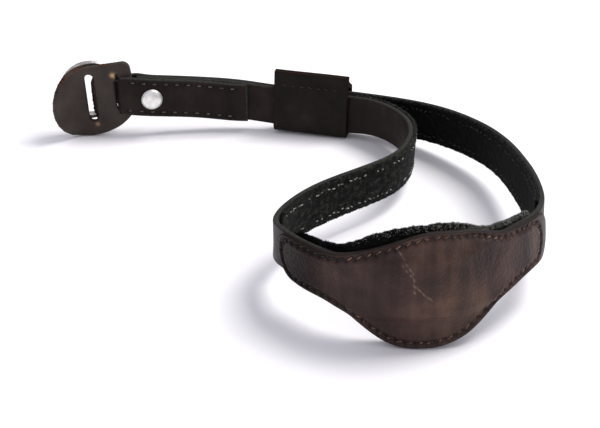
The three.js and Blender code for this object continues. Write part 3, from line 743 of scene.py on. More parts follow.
# %% Suede linings of both strands
LINING_A = LOOP_START + np.array([23.0, 168.0])
LINING_B = LOOP_START + np.array([293.0, 441.0])
LINING_SEAM = 5.3  # height of a lining's two rows of stitches
LINING_HALF = WIDTH / 2 + 0.05
LINING_ROLL = {"edge": 0.6, "power": 2.0}
rng = np.random.default_rng(16)


def wobble(s, seed, size, lengths=(1.3, 2.9, 7.1)):
    """A frayed outline: the sum of sines of a few wavelengths with phases drawn from the seed."""
    phases = np.random.default_rng(seed).uniform(0, 2 * np.pi, len(lengths))
    waves = [np.sin(2 * np.pi * s / length + phase) for length, phase in zip(lengths, phases)]
    return size * np.sum(waves, axis=0) / len(lengths)


def lining_relief(s, h):
    """The nap's soft lumps: products of sines at a few millimetres."""
    return 0.09 * np.sin(s / 0.9 + np.sin(h / 1.3)) * np.sin(h / 0.8 + 2 * np.sin(s / 2.7))


def lining_outer(s, h):
    """Offset of the lining's face against the leather."""
    return THICK + 0.15 + 0 * h


def lining_inner(s, h):
    """Offset of the lining's napped face."""
    return THICK + GAP + SUEDE + lining_relief(s, h)


def strand_lining(name, node, span, radius_end, seed, material):
    """One strand's suede, its pad end rounded if radius_end isn't zero."""
    s = stations(*span, 0.45)
    share = rounded_share(s, 0, radius_end)
    low = (wobble(s, seed, 0.3) - LINING_HALF) * share
    high = (wobble(s, seed + 1, 0.3) + LINING_HALF) * share
    suede_layer = layer(s, low, high, lining_outer, lining_inner, 26, **LINING_ROLL)
    return build(name, **suede_layer, material=material, nodes=[node], slot="suede")


strand_lining("suede_strand_a", "lining_strand_a", LINING_A, WIDTH / 2, 3, strand_suede)
strand_lining("suede_strand_b", "lining_strand_b", LINING_B, 0, 7, shaded_suede)


# %% Stitches on the suede
def suede_face(s, h):
    """The suede's inner face; s is negated so that the thread's arch rises away from the leather."""
    return on_strip(-s, h, THICK + GAP + SUEDE + 0.02 + lining_relief(-s, h))


def lining_seam(name, span, pitch, skip, thread):
    """Two rows of stitches along a lining, a share of them sunk out of sight in the nap."""
    along = np.arange(span[0] + 4, span[1] - 5, pitch)
    s = np.concatenate([along, along + pitch * 0.4])
    h = np.repeat([LINING_SEAM, -LINING_SEAM], len(along))
    s = s + rng.normal(0, 0.25, len(s))
    h = h + rng.normal(0, 0.22, len(h))
    shown = rng.uniform(size=len(s)) > skip
    angle = rng.normal(0.0, 0.35, shown.sum())
    length = rng.uniform(0.4, 1.9, shown.sum())
    return sew(name, thread, suede_face, as_seam(-s[shown], h[shown], angle), length, 0.22, 0.05)


lining_seam("suede_stitches_a", LINING_A, 2.1, 0.28, pale_thread)
# Strand B's stitches are black thread: painted shade on the shaded strand.
lining_seam("suede_stitches_b", LINING_B, 2.3, 0.35, dark_and_shaded_thread)

# %% Fibres that stand out of a suede edge
FLOOR_GAP = 0.02  # no fibre reaches lower than this
FIBRE_BEND = 0.2
SCATTER = 0.45


def fibres(name, roots, directions, lengths, width, material):
    """Short fibres as long thin tetrahedra: a triangle of the given width at the root, one point at
    the tip, which is bent sideways by a fifth of the length."""
    count = len(roots)
    direction = unit(directions)
    side = unit(np.cross(direction, rng.normal(size=(count, 3))))
    other = np.cross(direction, side)
    sunk = roots - 0.1 * direction
    root = [sunk + width / 2 * (x * side + y * other) for x, y in circle(np.radians([90, 210, 330]))]
    tip = roots + (direction + FIBRE_BEND * side) * lengths[:, None]
    points = np.stack([*root, tip], axis=1)
    points[..., 2] = np.maximum(points[..., 2], FLOOR_GAP)
    one = np.array([[0, 2, 1], [0, 1, 3], [1, 2, 3], [2, 0, 3]])
    faces = (one + 4 * np.arange(count)[:, None, None]).reshape(-1, 3)
    flow = np.repeat(rng.uniform(0, 400, (count, 3)), 4, axis=0)
    return build(name, points, faces, material, attributes={"flow": flow}, weld=0.0001)


def edge_fibres(
    name, s, low, high, outer, inner, count, reach, material, edge, power, lean=1.0, width=0.13
):
    """Fibres rooted on both rolled edges of a layer, standing out along the roll with a scatter.
    A lean below 1 crowds them toward the far end: a share u of them lies before u^lean of the run."""
    pick = (len(s) - 1.001) * rng.uniform(0, 1, count) ** lean
    i = pick.astype(int)
    part = pick - i

    def between(column):
        return column[i] * (1 - part) + column[i + 1] * part

    at = between(s)
    upper = rng.uniform(size=count) < 0.5
    sign = np.where(upper, 1.0, -1.0)
    side = np.where(rng.uniform(size=count) < 0.5, 1.0, -1.0)
    depth = edge * rng.uniform(0, 1, count) ** 1.6
    full = roll(depth, edge, power)
    height = np.where(upper, between(high), between(low)) - sign * depth
    outer_at, inner_at = outer(at, height), inner(at, height)
    offset = (outer_at + inner_at) / 2 + side * (inner_at - outer_at) / 2 * full
    out = np.column_stack([strip.inward(at) * (side * full)[:, None], sign * (1.1 - full)])
    scattered = out + rng.normal(0, SCATTER, (count, 3))
    lengths = reach * rng.uniform(0.3, 1.0, count) ** 1.5
    return fibres(name, on_strip(at, height, offset), scattered, lengths, width, material)


for name, span in (("suede_fringe_a", LINING_A), ("suede_fringe_b", LINING_B)):
    s = np.linspace(span[0] + 1, span[1] - 3, 500)
    edge = np.full_like(s, WIDTH / 2)
    edge_fibres(
        name, s, -edge, edge, lining_outer, lining_inner, 4200, 0.7, grey_fibre, **LINING_ROLL
    )

# %% [markdown]
# ## The wrist pad
#
# The pad's leather is a patch cut to a wide, drooping shape with narrow rounded ends, sewn through the
# strip's edges to a thick suede backing. The table gives its outline at a few distances along it. Past
# the strip's edges the two layers are pinched together by the seam.

# %% Outline of the pad
PAD_INSET = 3.0
PAD_END_RADIUS = 8.0
PINCH = THICK / 2 + SEWN_GAP - GAP / 2
PINCH_RUN = 3.5
PAD_AT = [0, 17, 26, 35, 44, 53, 62, 71, 80, 89, 109]
ABOVE, BELOW, HIDE, LINED, PILE = range(5)
# above, below, leather, lining above, pile
pad_outline = Lath(
    [
        (0.3, 0.0, 0.9, 0.0, 1.0),
        (0.9, 0.0, 1.6, 0.3, 1.6),
        (1.4, 1.1, 1.8, 1.6, 2.4),
        (4.0, 6.6, 1.8, 6.2, 3.0),
        (7.6, 11.8, 1.8, 9.2, 3.2),
        (9.9, 12.8, 1.8, 9.8, 3.2),
        (8.7, 11.3, 1.8, 8.7, 3.2),
        (6.1, 6.7, 1.8, 5.6, 3.0),
        (2.3, 2.2, 1.8, 1.6, 2.4),
        (0.9, 0.2, 1.5, 0.3, 1.8),
        (0.3, 0.0, 0.9, 0.0, 1.0),
    ],
    PAD_AT,
)


def pad_row(s):
    """The outline's columns at a distance along the strip."""
    return pad_outline.at(s - PAD_START)


def pad_edges(s, radius):
    """Heights of the leather's lower and upper edges, its ends rounded to a radius."""
    row = pad_row(s)
    share = rounded_share(s, radius, radius)
    return -(WIDTH / 2 + row[:, BELOW]) * share, (WIDTH / 2 + row[:, ABOVE]) * share


def pinch(height):
    """How far each layer closes in on the other past the strip's edge."""
    return PINCH * ease(np.abs(height), WIDTH / 2 + GAP, PINCH_RUN)


# %% The seam round the pad
SEAM_INSET = 1.8
SEAM_PITCH = 2.9
SEAM_STITCH = 2.4
SEAM_SLANT = 0.4
SEAM_FROM = PAD_START + 1.6
SEAM_TO = PAD_START + PAD_LENGTH - 5.1
SEAM_END_RADIUS = 7.0
SHADED_TO = PAD_START + 30.0  # painted shade: the thread is drawn black as far as this


def seam_round(s, low, high, inset, pitch):
    """Evenly spaced places on a closed line that runs inset inside an outline: the outline's points,
    moved along its inward normal, then walked at equal steps. Gives s, h and the line's direction."""
    loop = np.concatenate([np.stack([s, high], 1), np.stack([s[::-1], low[::-1]], 1)[1:-1]])
    tangent = unit(np.roll(loop, -1, axis=0) - np.roll(loop, 1, axis=0))
    line = loop + inset * np.stack([tangent[:, 1], -tangent[:, 0]], axis=1)
    line = np.vstack([line, line[:1]])
    walked = np.concatenate([[0], np.cumsum(np.hypot(*np.diff(line, axis=0).T))])
    count = int(walked[-1] / pitch)
    at = np.arange(count) * walked[-1] / count
    x, y = (np.interp(at, walked, column) for column in line.T)
    ahead_x, ahead_y = (np.interp(at + 0.5, walked, column) for column in line.T)
    return x, y, np.arctan2(ahead_y - y, ahead_x - x)


outline_s = np.linspace(SEAM_FROM, SEAM_TO, 900)
outline = pad_edges(outline_s, SEAM_END_RADIUS)
pad_seam = as_seam(*seam_round(outline_s, *outline, SEAM_INSET, SEAM_PITCH))
pad_seam[2] += SEAM_SLANT
print(pad_seam.shape[1], "stitches round the pad")

# %% The pad's leather
CROWN = 0.5
CROWN_REACH = 19  # from the strip's centre line to where the crown is gone
SINK = (0.28, 1.0)  # depth and half width of the trough that the seam lies in
BEAD = (0.12, 0.7)  # height and half width of the rim outside it
BEAD_FROM_SEAM = 1.5
STITCH_PULL = {"width": 0.55, "depth": 0.5}
CREASE = (0.05, 0.3)
CREASE_LINE = 0.19
DENT = (0.22, 1.3)
# Painted shade along the groove the seam lies in: its darkness and half width.
SEAM_SHADE = (0.7, 0.42)
# Creases and soft dents where the pad has been bent, as (along, across) corners from its middle.
CREASES = [
    [(-10.4, 13.9), (-8.8, 11.6), (-5.7, 6.2), (-5.3, 3.8), (-5.0, -1.0)],
    [(-8.7, 9.3), (-6.1, 5.2)],
    [(-4.7, 1.8), (-2.4, -1.2), (-0.1, -3.4)],
]
DENTS = [
    [(23.3, 4.9), (21.8, 3.0), (19.8, 0.2)],
    [(-1.4, 15.0), (-1.6, 9.0)],
    [(4.2, 13.0), (3.4, 4.0), (4.6, -6.0)],
]


def bulge(s, h):
    """The padding's push: a low crown, highest in the middle and gone at the edges."""
    x = np.clip((s - PAD_START) / PAD_LENGTH, 0, 1)
    y = np.clip(h / CROWN_REACH, -1, 1)
    return CROWN * np.sin(np.pi * x) ** 2 * np.cos(np.pi * y / 2) ** 2


def crease_distance(s, h, creases=CREASES):
    """Distance to the nearest crease, whose segments are bent a little by two sines."""
    x = s - PAD_START - PAD_LENGTH / 2 + 0.12 * np.sin(h * 2.9)
    y = h + 0.1 * np.sin(s * 2.3)
    starts = [corner for crease in creases for corner in crease[:-1]]
    ends = [corner for crease in creases for corner in crease[1:]]
    return nearest_gap(x, y, starts, ends)


def seam_line(s, h):
    """Distance to the seam's own line, through the middles of its stitches."""
    middles = pad_seam[:2].T
    return nearest_gap(s, h, middles, np.roll(middles, -1, axis=0))


def pad_relief(s, h):
    """Crown, seam and creases of the pad's face. The seam sinks the leather along its line and
    deeper at each stitch; on the outside the rim stands up as a soft bead."""
    line = seam_line(s, h)
    sunk = SINK[0] * bell(line / SINK[1])
    bead = BEAD[0] * bell((line - BEAD_FROM_SEAM) / BEAD[1])
    creased = CREASE[0] * bell(crease_distance(s, h) / CREASE[1])
    dented = DENT[0] * bell(crease_distance(s, h, DENTS) / DENT[1])
    uneven = 0.06 * np.sin(s / 3.1 + 0.3 * h) * np.sin(h / 4.7 + s / 9)
    pulled = groove(s, h, pad_seam, SEAM_STITCH, **STITCH_PULL)
    return bulge(s, h) + uneven + creased + bead - sunk - pulled - dented


def pad_outer(s, h):
    """Offset of the pad leather's face: its thickness outside the strip, closing in past its edges."""
    return -SEWN_GAP - pad_row(s)[..., HIDE] + pinch(h)


def pad_inner(s, h):
    """Offset of the pad leather's flesh side."""
    return -SEWN_GAP + pinch(h)


def pad_face(s, h):
    """The pad's face as the seam sees it, dimples included."""
    return on_strip(s, h, pad_outer(s, h) - pad_relief(s, h))


pad_s = stations(PAD_START, PAD_START + PAD_LENGTH, 0.3)
pad_layer = layer(
    pad_s, *pad_edges(pad_s, PAD_END_RADIUS), pad_outer, pad_inner, 86, power=2.4, relief=pad_relief
)
flow = pad_layer["attributes"]["flow"]
x, y, outside = flow.T
broken = np.clip(0.45 + 0.6 * np.sin(3.1 * y + x) * np.sin(2.3 * x), 0, 1)
cracks = 0.7 * bell(crease_distance(x, y) / CREASE_LINE) * outside * broken
# Painted shade along the seam's groove, joined with the painted shade in the needle holes.
shade = SEAM_SHADE[0] * bell(seam_line(x, y) / SEAM_SHADE[1]) * outside
hole_shade = holes(flow, pad_seam, SEAM_STITCH, 0.5)
pad_layer["attributes"].update(crease=cracks, hole=np.maximum(shade, hole_shade))
build(
    "pad_leather_shell", **pad_layer, material=pad_cowhide, nodes=["pad_leather"], slot="pad_leather"
)
# On the pad's left end the stitches are black thread as painted shade; to the right they are brown.
for name, part, thread in (
    ("pad_stitches", pad_seam[0] > SHADED_TO, pad_thread),
    ("pad_stitches_shaded", pad_seam[0] <= SHADED_TO, dark_and_shaded_thread),
):
    sew(name, thread, pad_face, pad_seam[:, part], 0.9 * SEAM_STITCH, radius=0.25, lift=0.1)

# %% The pad's suede backing
NAP_RISE = 0.9  # the nap stands above the cut edge
BACK_ROLL = {"edge": 1.3, "power": 2.0}


def pile_lumps(s, h):
    """The thick nap's lumps, a tenth to a third of a millimetre high."""
    fine = np.sin(s / 0.42 + 2 * np.sin(h / 0.7)) * np.sin(h / 0.37 + 2 * np.sin(s / 0.9))
    coarse = np.sin(s / 1.9 + np.sin(h / 2.2)) * np.sin(h / 1.6 + np.sin(s / 3.1))
    return 0.12 * fine + 0.16 * coarse


def back_outer(s, h):
    """Offset of the backing's face against the strip."""
    return THICK + SEWN_GAP - pinch(h)


def back_inner(s, h):
    """Offset of the backing's napped face."""
    return THICK + SEWN_GAP + pad_row(s)[..., PILE] - pinch(h) + pile_lumps(s, h)


back_s = stations(PAD_START + PAD_INSET, PAD_START + PAD_LENGTH - PAD_INSET, 0.42)
back_share = rounded_share(back_s, PAD_END_RADIUS, PAD_END_RADIUS)
back_rows = pad_row(back_s)
back_low = (-(WIDTH / 2 + back_rows[:, BELOW]) + 0.2 + wobble(back_s, 21, 0.25)) * back_share
back_high = (WIDTH / 2 + back_rows[:, LINED] + NAP_RISE + wobble(back_s, 22, 0.3)) * back_share
backing = layer(back_s, back_low, back_high, back_outer, back_inner, 62, **BACK_ROLL)
pad_back = build(
    "pad_suede_backing", **backing, material=pad_suede, nodes=["pad_lining"], slot="pad_suede"
)

# %% Its frayed edge, dark all round and paler along the right
all_round = slice(3, -3)
# The paler fibres: from a quarter of the way along, crowded toward the right end.
rubbed = slice(len(back_s) // 4, -3)
for name, part, count, reach, fibre, more in (
    ("pad_fringe", all_round, 12000, 0.65, loose_fibre, {}),
    ("pad_fringe_pale", rubbed, 4200, 0.5, pale_fibre, {"lean": 0.5, "width": 0.2}),
):
    run = back_s[part], back_low[part], back_high[part]
    edge_fibres(name, *run, back_outer, back_inner, count, reach, fibre, **BACK_ROLL, **more)

# %% [markdown]
# ## The keeper
#
# A short piece of leather folded under both strands and sewn to itself above them. It is one folded
# sheet, so its section is a single line: down the straight front, round the fold, up the back, then
# leaning forward over the strands until both edges lie together in the seam. The sheet's thickness is
# the distance between an outer and an inner line. At the right end the seam opens, and the leaning
# wall's cut edge shows.

# %% The keeper's folded sheet
KEEPER_LENGTH = 30.0
KEEPER_LEATHER = 1.5
KEEPER_CORNER = 1.6
KEEPER_TOP = 26.5
KEEPER_RIM = 0.35  # how far the rolled edges stand above the two tops
KEEPER_ROLL = 0.6  # the sheet thins this close to its cut ends
KEEPER_FRAY = 0.7  # bare fibre shows this far below the two tops
KEEPER_RISE = np.radians(1.6)
KEEPER_SHOULDER_UP = 1.1
KEEPER_SEAM_UP = 1.4
KEEPER_XY = np.array([-2.1, 75.11])
KEEPER_HEADING = np.radians(-12.5)
# at, width, shoulder, seam
KEEPER_HOLLOW = Lath(
    [
        (5.1, 19.2, 20.4),
        (6.2, 19.1, 20.4),
        (7.4, 19.0, 20.4),
        (7.8, 18.9, 20.7),
        (7.8, 18.9, 23.2),
    ],
    [0, 0.3, 0.62, 0.9, 1],
)


def upright(across, start, end, count):
    """Points straight up or down from a start, which counts, to an end, which doesn't."""
    return np.stack([np.full(count, across), np.linspace(start, end, count + 1)[:-1]], axis=1)


def soft_corner(before, corner, after, reach, count):
    """Points of a parabola that rounds a corner, starting and ending reach away from it."""
    t = np.linspace(0, 1, count)[:, None]
    return corner + reach * (unit(before - corner) * (1 - t) ** 2 + unit(after - corner) * t**2)


def keeper_line(front, back, foot, corner, shoulder, seam, lap, top):
    """One face of the sheet as (across, height) points: down the front, along the foot and up the
    back, then forward to the seam and up its lap."""
    turn = np.linspace(0, np.pi / 2, 8)
    down = upright(front, top, foot + corner, 26)
    left = [front + corner, foot + corner] + circle(turn + np.pi, corner)
    right = [back - corner, foot + corner] + circle(turn - np.pi / 2, corner)
    up = upright(back, shoulder - 1.2, foot + corner, 10)[::-1]
    bend = np.array([back, shoulder])
    notch = np.array([lap, seam])
    over = soft_corner(np.array([back, foot]), bend, notch, 1.0, 7)
    into = soft_corner(bend, notch, np.array([lap, top]), 0.7, 6)
    t = np.linspace(0, 1, 12)[1:-1, None]
    lean = over[-1] * (1 - t) + into[0] * t
    lap_up = upright(lap, top, into[-1, 1], 8)[::-1]
    return np.concatenate([down, left, right, up, over, lean, into, lap_up])


def keeper_place(run, across, height):
    """Millimetre points: the keeper stands on its right end and its left end is raised."""
    back, z = turned(KEEPER_LENGTH - run, height, KEEPER_RISE)
    x, y = turned(KEEPER_LENGTH - back, across, KEEPER_HEADING)
    return np.stack([KEEPER_XY[0] + x, KEEPER_XY[1] + y, z], axis=-1)


def keeper_ring(run):
    """The sheet's closed section: its outer line, a rolled edge at the lap's top, its inner line back
    and a rolled edge at the front's top. Towards both cut ends the sheet thins in the same way."""
    width, shoulder, seam = KEEPER_HOLLOW.at(run / KEEPER_LENGTH)
    share = roll(min(run, KEEPER_LENGTH - run), KEEPER_ROLL, 2.4)
    thin = KEEPER_LEATHER / 2 * (1 - share)
    half_up = KEEPER_SHOULDER_UP / 2 * (1 - share)
    half_seam = KEEPER_SEAM_UP / 2 * (1 - share)
    top = KEEPER_TOP - KEEPER_RIM
    outer = keeper_line(
        thin, width + 2 * KEEPER_LEATHER - thin, thin, KEEPER_CORNER + KEEPER_LEATHER - thin,
        shoulder + KEEPER_SHOULDER_UP - half_up, seam + KEEPER_SEAM_UP - half_seam,
        2 * KEEPER_LEATHER - thin, top,
    )
    inner = keeper_line(
        KEEPER_LEATHER - thin, width + KEEPER_LEATHER + thin, KEEPER_LEATHER - thin,
        KEEPER_CORNER + thin, shoulder + half_up, seam + half_seam, KEEPER_LEATHER + 0.08 + thin, top,
    )
    a = np.radians([35, 65, 90, 115, 145])
    front_edge, lap_edge = (
        (outer[i] + inner[i]) / 2 + circle(a, abs(outer[i, 0] - inner[i, 0]) / 2, KEEPER_RIM * share)
        for i in (0, -1)
    )
    return np.concatenate([outer, lap_edge, inner[::-1], front_edge])


run = stations(0, KEEPER_LENGTH, 0.5, MARGIN[:6])
sections = np.array([keeper_ring(at) for at in run])
across, height = sections[..., 0], sections[..., 1]
slow = 0.1 * np.sin(run / 4.3)[:, None] * np.sin(height / 5)
rings = keeper_place(run[:, None], across + slow, height)
keeper_end = np.minimum(run, KEEPER_LENGTH - run)[:, None]
keeper_rim = np.maximum(1 - keeper_end / KEEPER_ROLL, 1 - (KEEPER_TOP - height) / KEEPER_FRAY)
build(
    "keeper_sheet",
    rings,
    ring_faces(*rings.shape[:2]),
    keeper_leather,
    nodes=["keeper"],
    slot="keeper_leather",
    attributes={"rim": np.clip(keeper_rim, 0, 1).ravel()},
)

# %% The keeper's stitches
KEEPER_PITCH = 3.4
KEEPER_SEAM_HEIGHT = 20.9


def keeper_front(s, h):
    """The keeper's straight front face."""
    return keeper_place(s, 0 * s, h + 0 * s)


keeper_seam = as_seam(np.arange(4.5, KEEPER_LENGTH - 2, KEEPER_PITCH), KEEPER_SEAM_HEIGHT, -0.35)
sew("keeper_stitches", dark_and_shaded_thread, keeper_front, keeper_seam, length=1.6, radius=0.26, lift=0.06)

# %% [markdown]
# ## The end tab
#
# The tab is die-cut from thick leather: one round end, one squared corner, and two slots. Its shape is
# easiest to state as a signed distance, positive inside: the outline's distance, and the distances from
# both slots, whichever is least. A square grid is laid over it, the grid's points near the zero line
# are moved onto it, and the thickness rolls off with the same distance. The flat result is then bent
# along the same curl as the round end has.

# %% The tab's signed distance
TAB_XY = np.array([-76.2, 72.8])
TAB_RADIUS = 14.6
TAB_REACH = 20.0
TAB_CORNER = 3.1
TAB_BELLY = 0.4  # the lower edge's ellipse is centred this far along
TAB_TILT = np.radians(8.7)
SLOT_TILT = np.radians(3.5)
LUG_CENTRE = (1.9, 16.4 - TAB_RADIUS)
LUG_HALF = (8.0, 1.72)  # length and width
SLIT_CENTRE = (13.0, 18.2 - TAB_RADIUS)
SLIT_HALF_LENGTH = 7.9


def tab_outline():
    """The outline as closed points: half circle, quarter ellipse, straight right side, round corner."""
    quarter = np.pi / 2
    left = circle(np.linspace(quarter, 3 * quarter, 90), TAB_RADIUS)
    low = circle(np.linspace(-quarter, 0, 60)[1:], TAB_REACH - TAB_BELLY, TAB_RADIUS)
    corner = circle(np.linspace(0, quarter, 14), TAB_CORNER)
    corner += [TAB_REACH - TAB_CORNER, TAB_RADIUS - TAB_CORNER]
    points = np.concatenate([left, low + [TAB_BELLY, 0], corner])
    return np.stack(turned(*points.T, TAB_TILT), axis=1)


def inside_distance(x, z, outline):
    """Distance to a closed convex outline that runs anticlockwise, positive inside it."""
    ahead = np.roll(outline, -1, axis=0)
    inside = np.ones(x.shape, bool)
    for (x0, z0), (x1, z1) in zip(outline, ahead):
        inside &= (x1 - x0) * (z - z0) - (z1 - z0) * (x - x0) >= 0
    return np.where(inside, 1, -1) * nearest_gap(x, z, outline, ahead)


def slot_distance(x, z, centre, half_length, half_width):
    """Distance outside a slot whose half width may vary along it, positive off the slot."""
    across, along = turned(x - centre[0], z - centre[1], -SLOT_TILT)
    along = np.abs(along)
    return np.hypot(across, np.maximum(along - half_length, 0)) - half_width(along)


def slit_half_width(along):
    """The strap's slit gapes in the middle and closes to a thin cut at its ends."""
    return 2.2 - 1.95 * ease(along, 4.8, 2.4)


def tab_distance(x, z):
    """The tab's signed distance in its flat plane, with the wear of its lower left rim and the lug
    slot's ragged right side."""
    angle = np.arctan2(z, x)
    worn = 0.12 * np.sin(angle * 41) * np.sin(angle * 17 + 1) * np.clip(-x / 8, 0, 1)
    edge = inside_distance(x, z, tab_outline()) + worn
    ragged = 0.14 * np.sin(2.6 * z) * np.sin(0.9 * z + 1) * np.clip(x - 1.5, 0, 1)
    lug = slot_distance(x, z, LUG_CENTRE, LUG_HALF[0], lambda along: LUG_HALF[1]) + ragged
    slit = slot_distance(x, z, SLIT_CENTRE, SLIT_HALF_LENGTH, slit_half_width)
    return np.minimum(np.minimum(edge, lug), slit)


# %% A sheet cut along a signed distance
def cut_sheet(distance, x_range, z_range, cell):
    """A grid over a signed distance: points within 0.7 of a cell of its zero line are moved onto it
    along the gradient. Keeps cells that have no point outside and at least one inside."""
    x, z = np.meshgrid(np.arange(*x_range, cell), np.arange(*z_range, cell), indexing="ij")
    step = 0.02
    for _ in range(3):
        d = distance(x, z)
        gx = (distance(x + step, z) - distance(x - step, z)) / (2 * step)
        gz = (distance(x, z + step) - distance(x, z - step)) / (2 * step)
        size = np.maximum(gx * gx + gz * gz, 0.2)
        near = np.abs(d) < 0.7 * cell
        x = np.where(near, x - d * gx / size, x)
        z = np.where(near, z - d * gz / size, z)
    d = np.where(near, 0, distance(x, z))
    number = np.arange(x.size).reshape(x.shape)
    quads = np.stack([number[:-1, :-1], number[1:, :-1], number[1:, 1:], number[:-1, 1:]], axis=-1)
    quads = quads.reshape(-1, 4)
    corner = d.ravel()[quads]
    kept = (corner >= 0).all(axis=1) & (corner > 0).any(axis=1)
    return x.ravel(), z.ravel(), d.ravel(), quads[kept]


x, z, d, quads = cut_sheet(tab_distance, (-16.2, 22.2), (-16.2, 18.2), 0.22)
print("cells in the tab:", len(quads))

# %% The tab's mesh
TAB_THICK = 2.6
TAB_ROLL = 0.8
CURL_FROM = -0.5
CURL_TO = -5.5
CURL_ANGLE = np.radians(50)
SLANT_CUT = 1.5  # the lug slot's right wall leans this far behind
# x and z of the places where the rim is raw
RAW = np.array([(-8.5, 10.0), (2.8, -8.5), (12.3, 11.9), (14.5, -4.5), (-3.0, 15.0), (8.0, 15.6)])
RAW_SPREAD = 7.0  # the square of how far each reaches
# x, z, size and share of the chafed spots
CHAFED = [(11.0, 11.6, 0.95, 1.0), (3.8, -9.3, 0.8, 0.4), (15.3, -4.4, 0.5, 0.4)]

bend_radius = (CURL_FROM - CURL_TO) / CURL_ANGLE
curl = np.clip((CURL_FROM - x) / bend_radius, 0, CURL_ANGLE)
flat = np.maximum(x - CURL_FROM, 0)
past = np.maximum(CURL_TO - x, 0)
front_x = TAB_XY[0] + CURL_FROM + flat - bend_radius * np.sin(curl) - past * np.cos(curl)
front_y = TAB_XY[1] - bend_radius * (1 - np.cos(curl)) - past * np.sin(curl)
front = np.stack([front_x, front_y, TAB_RADIUS + z], axis=1)
back = np.stack([-np.sin(curl), np.cos(curl), 0 * curl], axis=1)
full = roll(d, TAB_ROLL, 2.4)[:, None]
uneven = 0.05 * (np.sin(x / 2.3 + z / 3.1) * np.sin(z / 2.7))[:, None] * full
lip = bell((x - 10.8) / 1.3) * np.clip((7.5 - np.abs(z - 3.6)) / 2, 0, 1)
slant_cut = bell((x - 3.7) / 1.1) * np.clip((9.4 - np.abs(z - 1.8)) / 3, 0, 1)
rightward = np.array([[1.0, 0, 0]])
front_face = front + back * (TAB_THICK / 2 * (1 - full) + uneven) + rightward * lip[:, None]
back_face = front + back * (TAB_THICK / 2 * (1 + full)) - rightward * SLANT_CUT * slant_cut[:, None]

used = np.unique(quads)
both = np.concatenate([used, used + len(x)])
renumber = np.zeros(2 * len(x), int)
renumber[both] = np.arange(len(both))
gap2 = (x[:, None] - RAW[:, 0]) ** 2 + (z[:, None] - RAW[:, 1]) ** 2
raw = np.exp(-gap2 / RAW_SPREAD).max(axis=1)
tab_rim = (1 - np.clip(d / TAB_ROLL, 0, 1)) * (0.2 + 0.8 * raw)
chafed = sum(share * bell(np.hypot(x - x0, z - z0) / size) for x0, z0, size, share in CHAFED)
build(
    "end_tab_leather",
    np.concatenate([front_face, back_face])[both],
    renumber[np.concatenate([quads, quads[:, ::-1] + len(x)])],
    tab_leather,
    nodes=["end_tab"],
    slot="tab_leather",
    attributes={
        "rim": np.concatenate([tab_rim, tab_rim])[both],
        "crease": np.concatenate([chafed, 0 * chafed])[both],
    },
)

# %% [markdown]
# ## Split ring and rivet
#
# The ring is flat spring wire wound nearly twice, so the wire steps across once from the first coil to
# the second. The rivet is a domed cap in front and a flatter one behind, both turned shapes.

# %% Split ring
RING_RADIUS = 12.0
RING_WIDTH = 2.2
RING_COIL = 1.1
RING_STEP = 1.3
STEP_AT = 0.9  # turns of wire before the step, which takes a tenth of a turn
RING_HEIGHT = 18.3
RING_YAW = np.radians(14)
RING_TO_PIVOT = 10.3
RING_CUT = np.radians(20)  # bearing of the wire's first end
TURNS = 1.9
END_TURNS = np.array([0, 0, 0.001, 0.003])  # each cut end is rounded over these turns
END_SHARE = [0, 0.55, 0.85, 0.97]

coiled = np.linspace(0.006, TURNS - 0.006, 260)
turns = np.concatenate([END_TURNS, coiled, TURNS - END_TURNS[::-1]])
fullness = np.concatenate([END_SHARE, np.ones(len(coiled)), END_SHARE[::-1]])[:, None]
angle = (2 * np.pi * turns + RING_CUT)[:, None]
section = circle(full_turn(24))
radial, sideways = (np.sign(section) * np.sqrt(np.abs(section)) * [RING_WIDTH / 2, RING_COIL / 2]).T
r = RING_RADIUS - RING_WIDTH / 2 + fullness * radial
across = RING_STEP * (ease(turns, STEP_AT, 0.1) - 0.5)[:, None] + fullness * sideways
x, y = turned(r * np.cos(angle) - RING_TO_PIVOT, across, RING_YAW)
points = np.stack([PIVOT[0] + x, PIVOT[1] + y, RING_HEIGHT + r * np.sin(angle)], axis=-1)
build(
    "split_ring_wire",
    points,
    ring_faces(*points.shape[:2]),
    steel,
    nodes=["split_ring"],
    slot="steel",
    body="ring",
)

# %% Rivet caps
RIVET_X = -50.5
RIVET_DROP = 0.3
CAP_RADIUS = 4.2
CAP_HEIGHT = 1.9
CAP_FOOT = 0.02
CAP_ROLL = 0.35
CAP_RISE = 0.55  # the dome starts this high, above the rolled rim
search = np.arange(0, 20, 0.05)
rivet_s = search[np.argmax(strip.at(search)[:, 0] >= RIVET_X)]
rivet_inward = np.append(strip.inward(rivet_s), 0)
rivet_foot = on_strip(rivet_s, -RIVET_DROP, 0.0)


def cap_profile(radius):
    """Closed half section as (radius, rise) points: flat foot, rolled rim, flattened dome."""
    a = np.linspace(-np.pi / 2, np.pi / 2, 9)
    lip = [radius - CAP_ROLL, CAP_FOOT + CAP_ROLL] + circle(a, CAP_ROLL)
    t = np.linspace(0.93, 0, 16)
    crown = np.stack([radius * t, CAP_RISE + (CAP_HEIGHT - CAP_RISE) * (1 - t**2.6)], axis=1)
    return np.concatenate([[(0, CAP_FOOT), (radius - 0.5, CAP_FOOT)], lip, crown])


def rivet_cap(name, node, radius, offset, sign):
    """A cap turned about the rivet's axis at an offset, rising outward (-1) or inward (1)."""
    around = circle(full_turn(64)) @ np.array([np.cross(rivet_inward, [0, 0, 1]), [0, 0, 1]])
    out, rise = cap_profile(radius).T[..., None, None]
    points = rivet_foot + rivet_inward * (offset + sign * rise) + out * around
    return build(name, points, ring_faces(*points.shape[:2]), nickel, nodes=[node], slot="nickel")


rivet_cap("rivet_cap", "rivet", CAP_RADIUS, -THICK - 2 * GAP + 0.05, -1)
rivet_cap("rivet_back_cap", "rivet_back", CAP_RADIUS - 0.2, 2 * THICK + 2 * GAP + 0.4, 1)

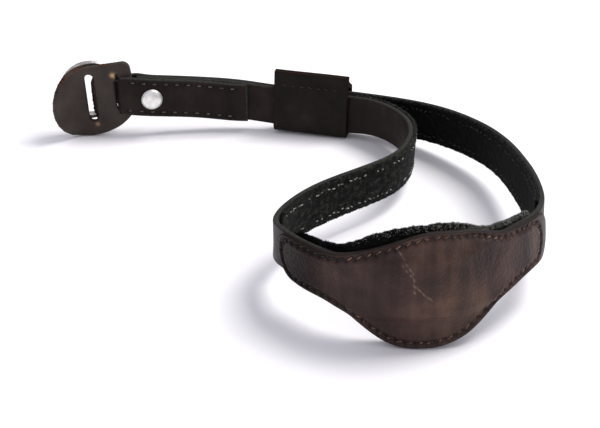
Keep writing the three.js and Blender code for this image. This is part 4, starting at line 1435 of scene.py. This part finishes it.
# %% [markdown]
# ## Floor, light and camera
#
# The strap stands on a pale seamless sheet. One large softbox stands to its right and a little behind
# it, high enough to light the tops of the edges, and everything else is bounced white light, so that the
# shadows are short, soft and faintly lilac.

# %% Floor
PAPER = 3.0  # metres from its middle to an edge
paper_mesh = bpy.data.meshes.new("paper")
corners = [(x * PAPER, y * PAPER, 0) for x, y in ((-1, -1), (1, -1), (1, 1), (-1, 1))]
paper_mesh.from_pydata(corners, [], [(0, 1, 2, 3)])
floor = bpy.data.objects.new("paper", paper_mesh)
floor.location.z = -0.0001
floor.data.materials.append(matt_material("matt white paper", "#f7f6f8", 0.95, 0.1))
bpy.context.scene.collection.objects.link(floor)
print("paper:", 2 * PAPER, "m square")


# %% Light
def place_facing(name, data, place, target):
    """Adds a camera or light at a place in millimetres, its -Z along the line to a target."""
    thing = bpy.data.objects.new(name, data)
    bpy.context.scene.collection.objects.link(thing)
    thing.location = Vector(place) * MM
    thing.rotation_euler = (Vector(target) - Vector(place)).to_track_quat("-Z", "Y").to_euler()
    return thing


SOFTBOX = 420  # width and height
softbox = bpy.data.lights.new("key softbox", "AREA")
softbox.shape = "RECTANGLE"
softbox.size = softbox.size_y = SOFTBOX * MM
softbox.energy = 6.8
softbox.color = (1.0, 0.99, 0.97)
place_facing("key softbox", softbox, (430, 170, 800), (10, 0, 0))

world = bpy.data.worlds.new("white room")
world.use_nodes = True
bounced = world.node_tree.nodes["Background"].inputs
bounced["Color"].default_value = linear("#f7f6ff")
bounced["Strength"].default_value = 0.75
bpy.context.scene.world = world
bpy.context.scene.view_settings.view_transform = "Standard"
print("softbox:", softbox.energy, "W; room:", bounced["Strength"].default_value)

# %% Camera
lens = bpy.data.cameras.new("camera")
lens.lens = 81.29
lens.sensor_width = 36.0
lens.clip_start = 0.01
lens.clip_end = 20.0
camera = place_facing("camera", lens, (8.9, -426.5, 226.3), (8.9, 5.0, 0))
bpy.context.scene.camera = camera
print("lens:", lens.lens, "mm")

# %% Finish
bpy.context.view_layer.update()
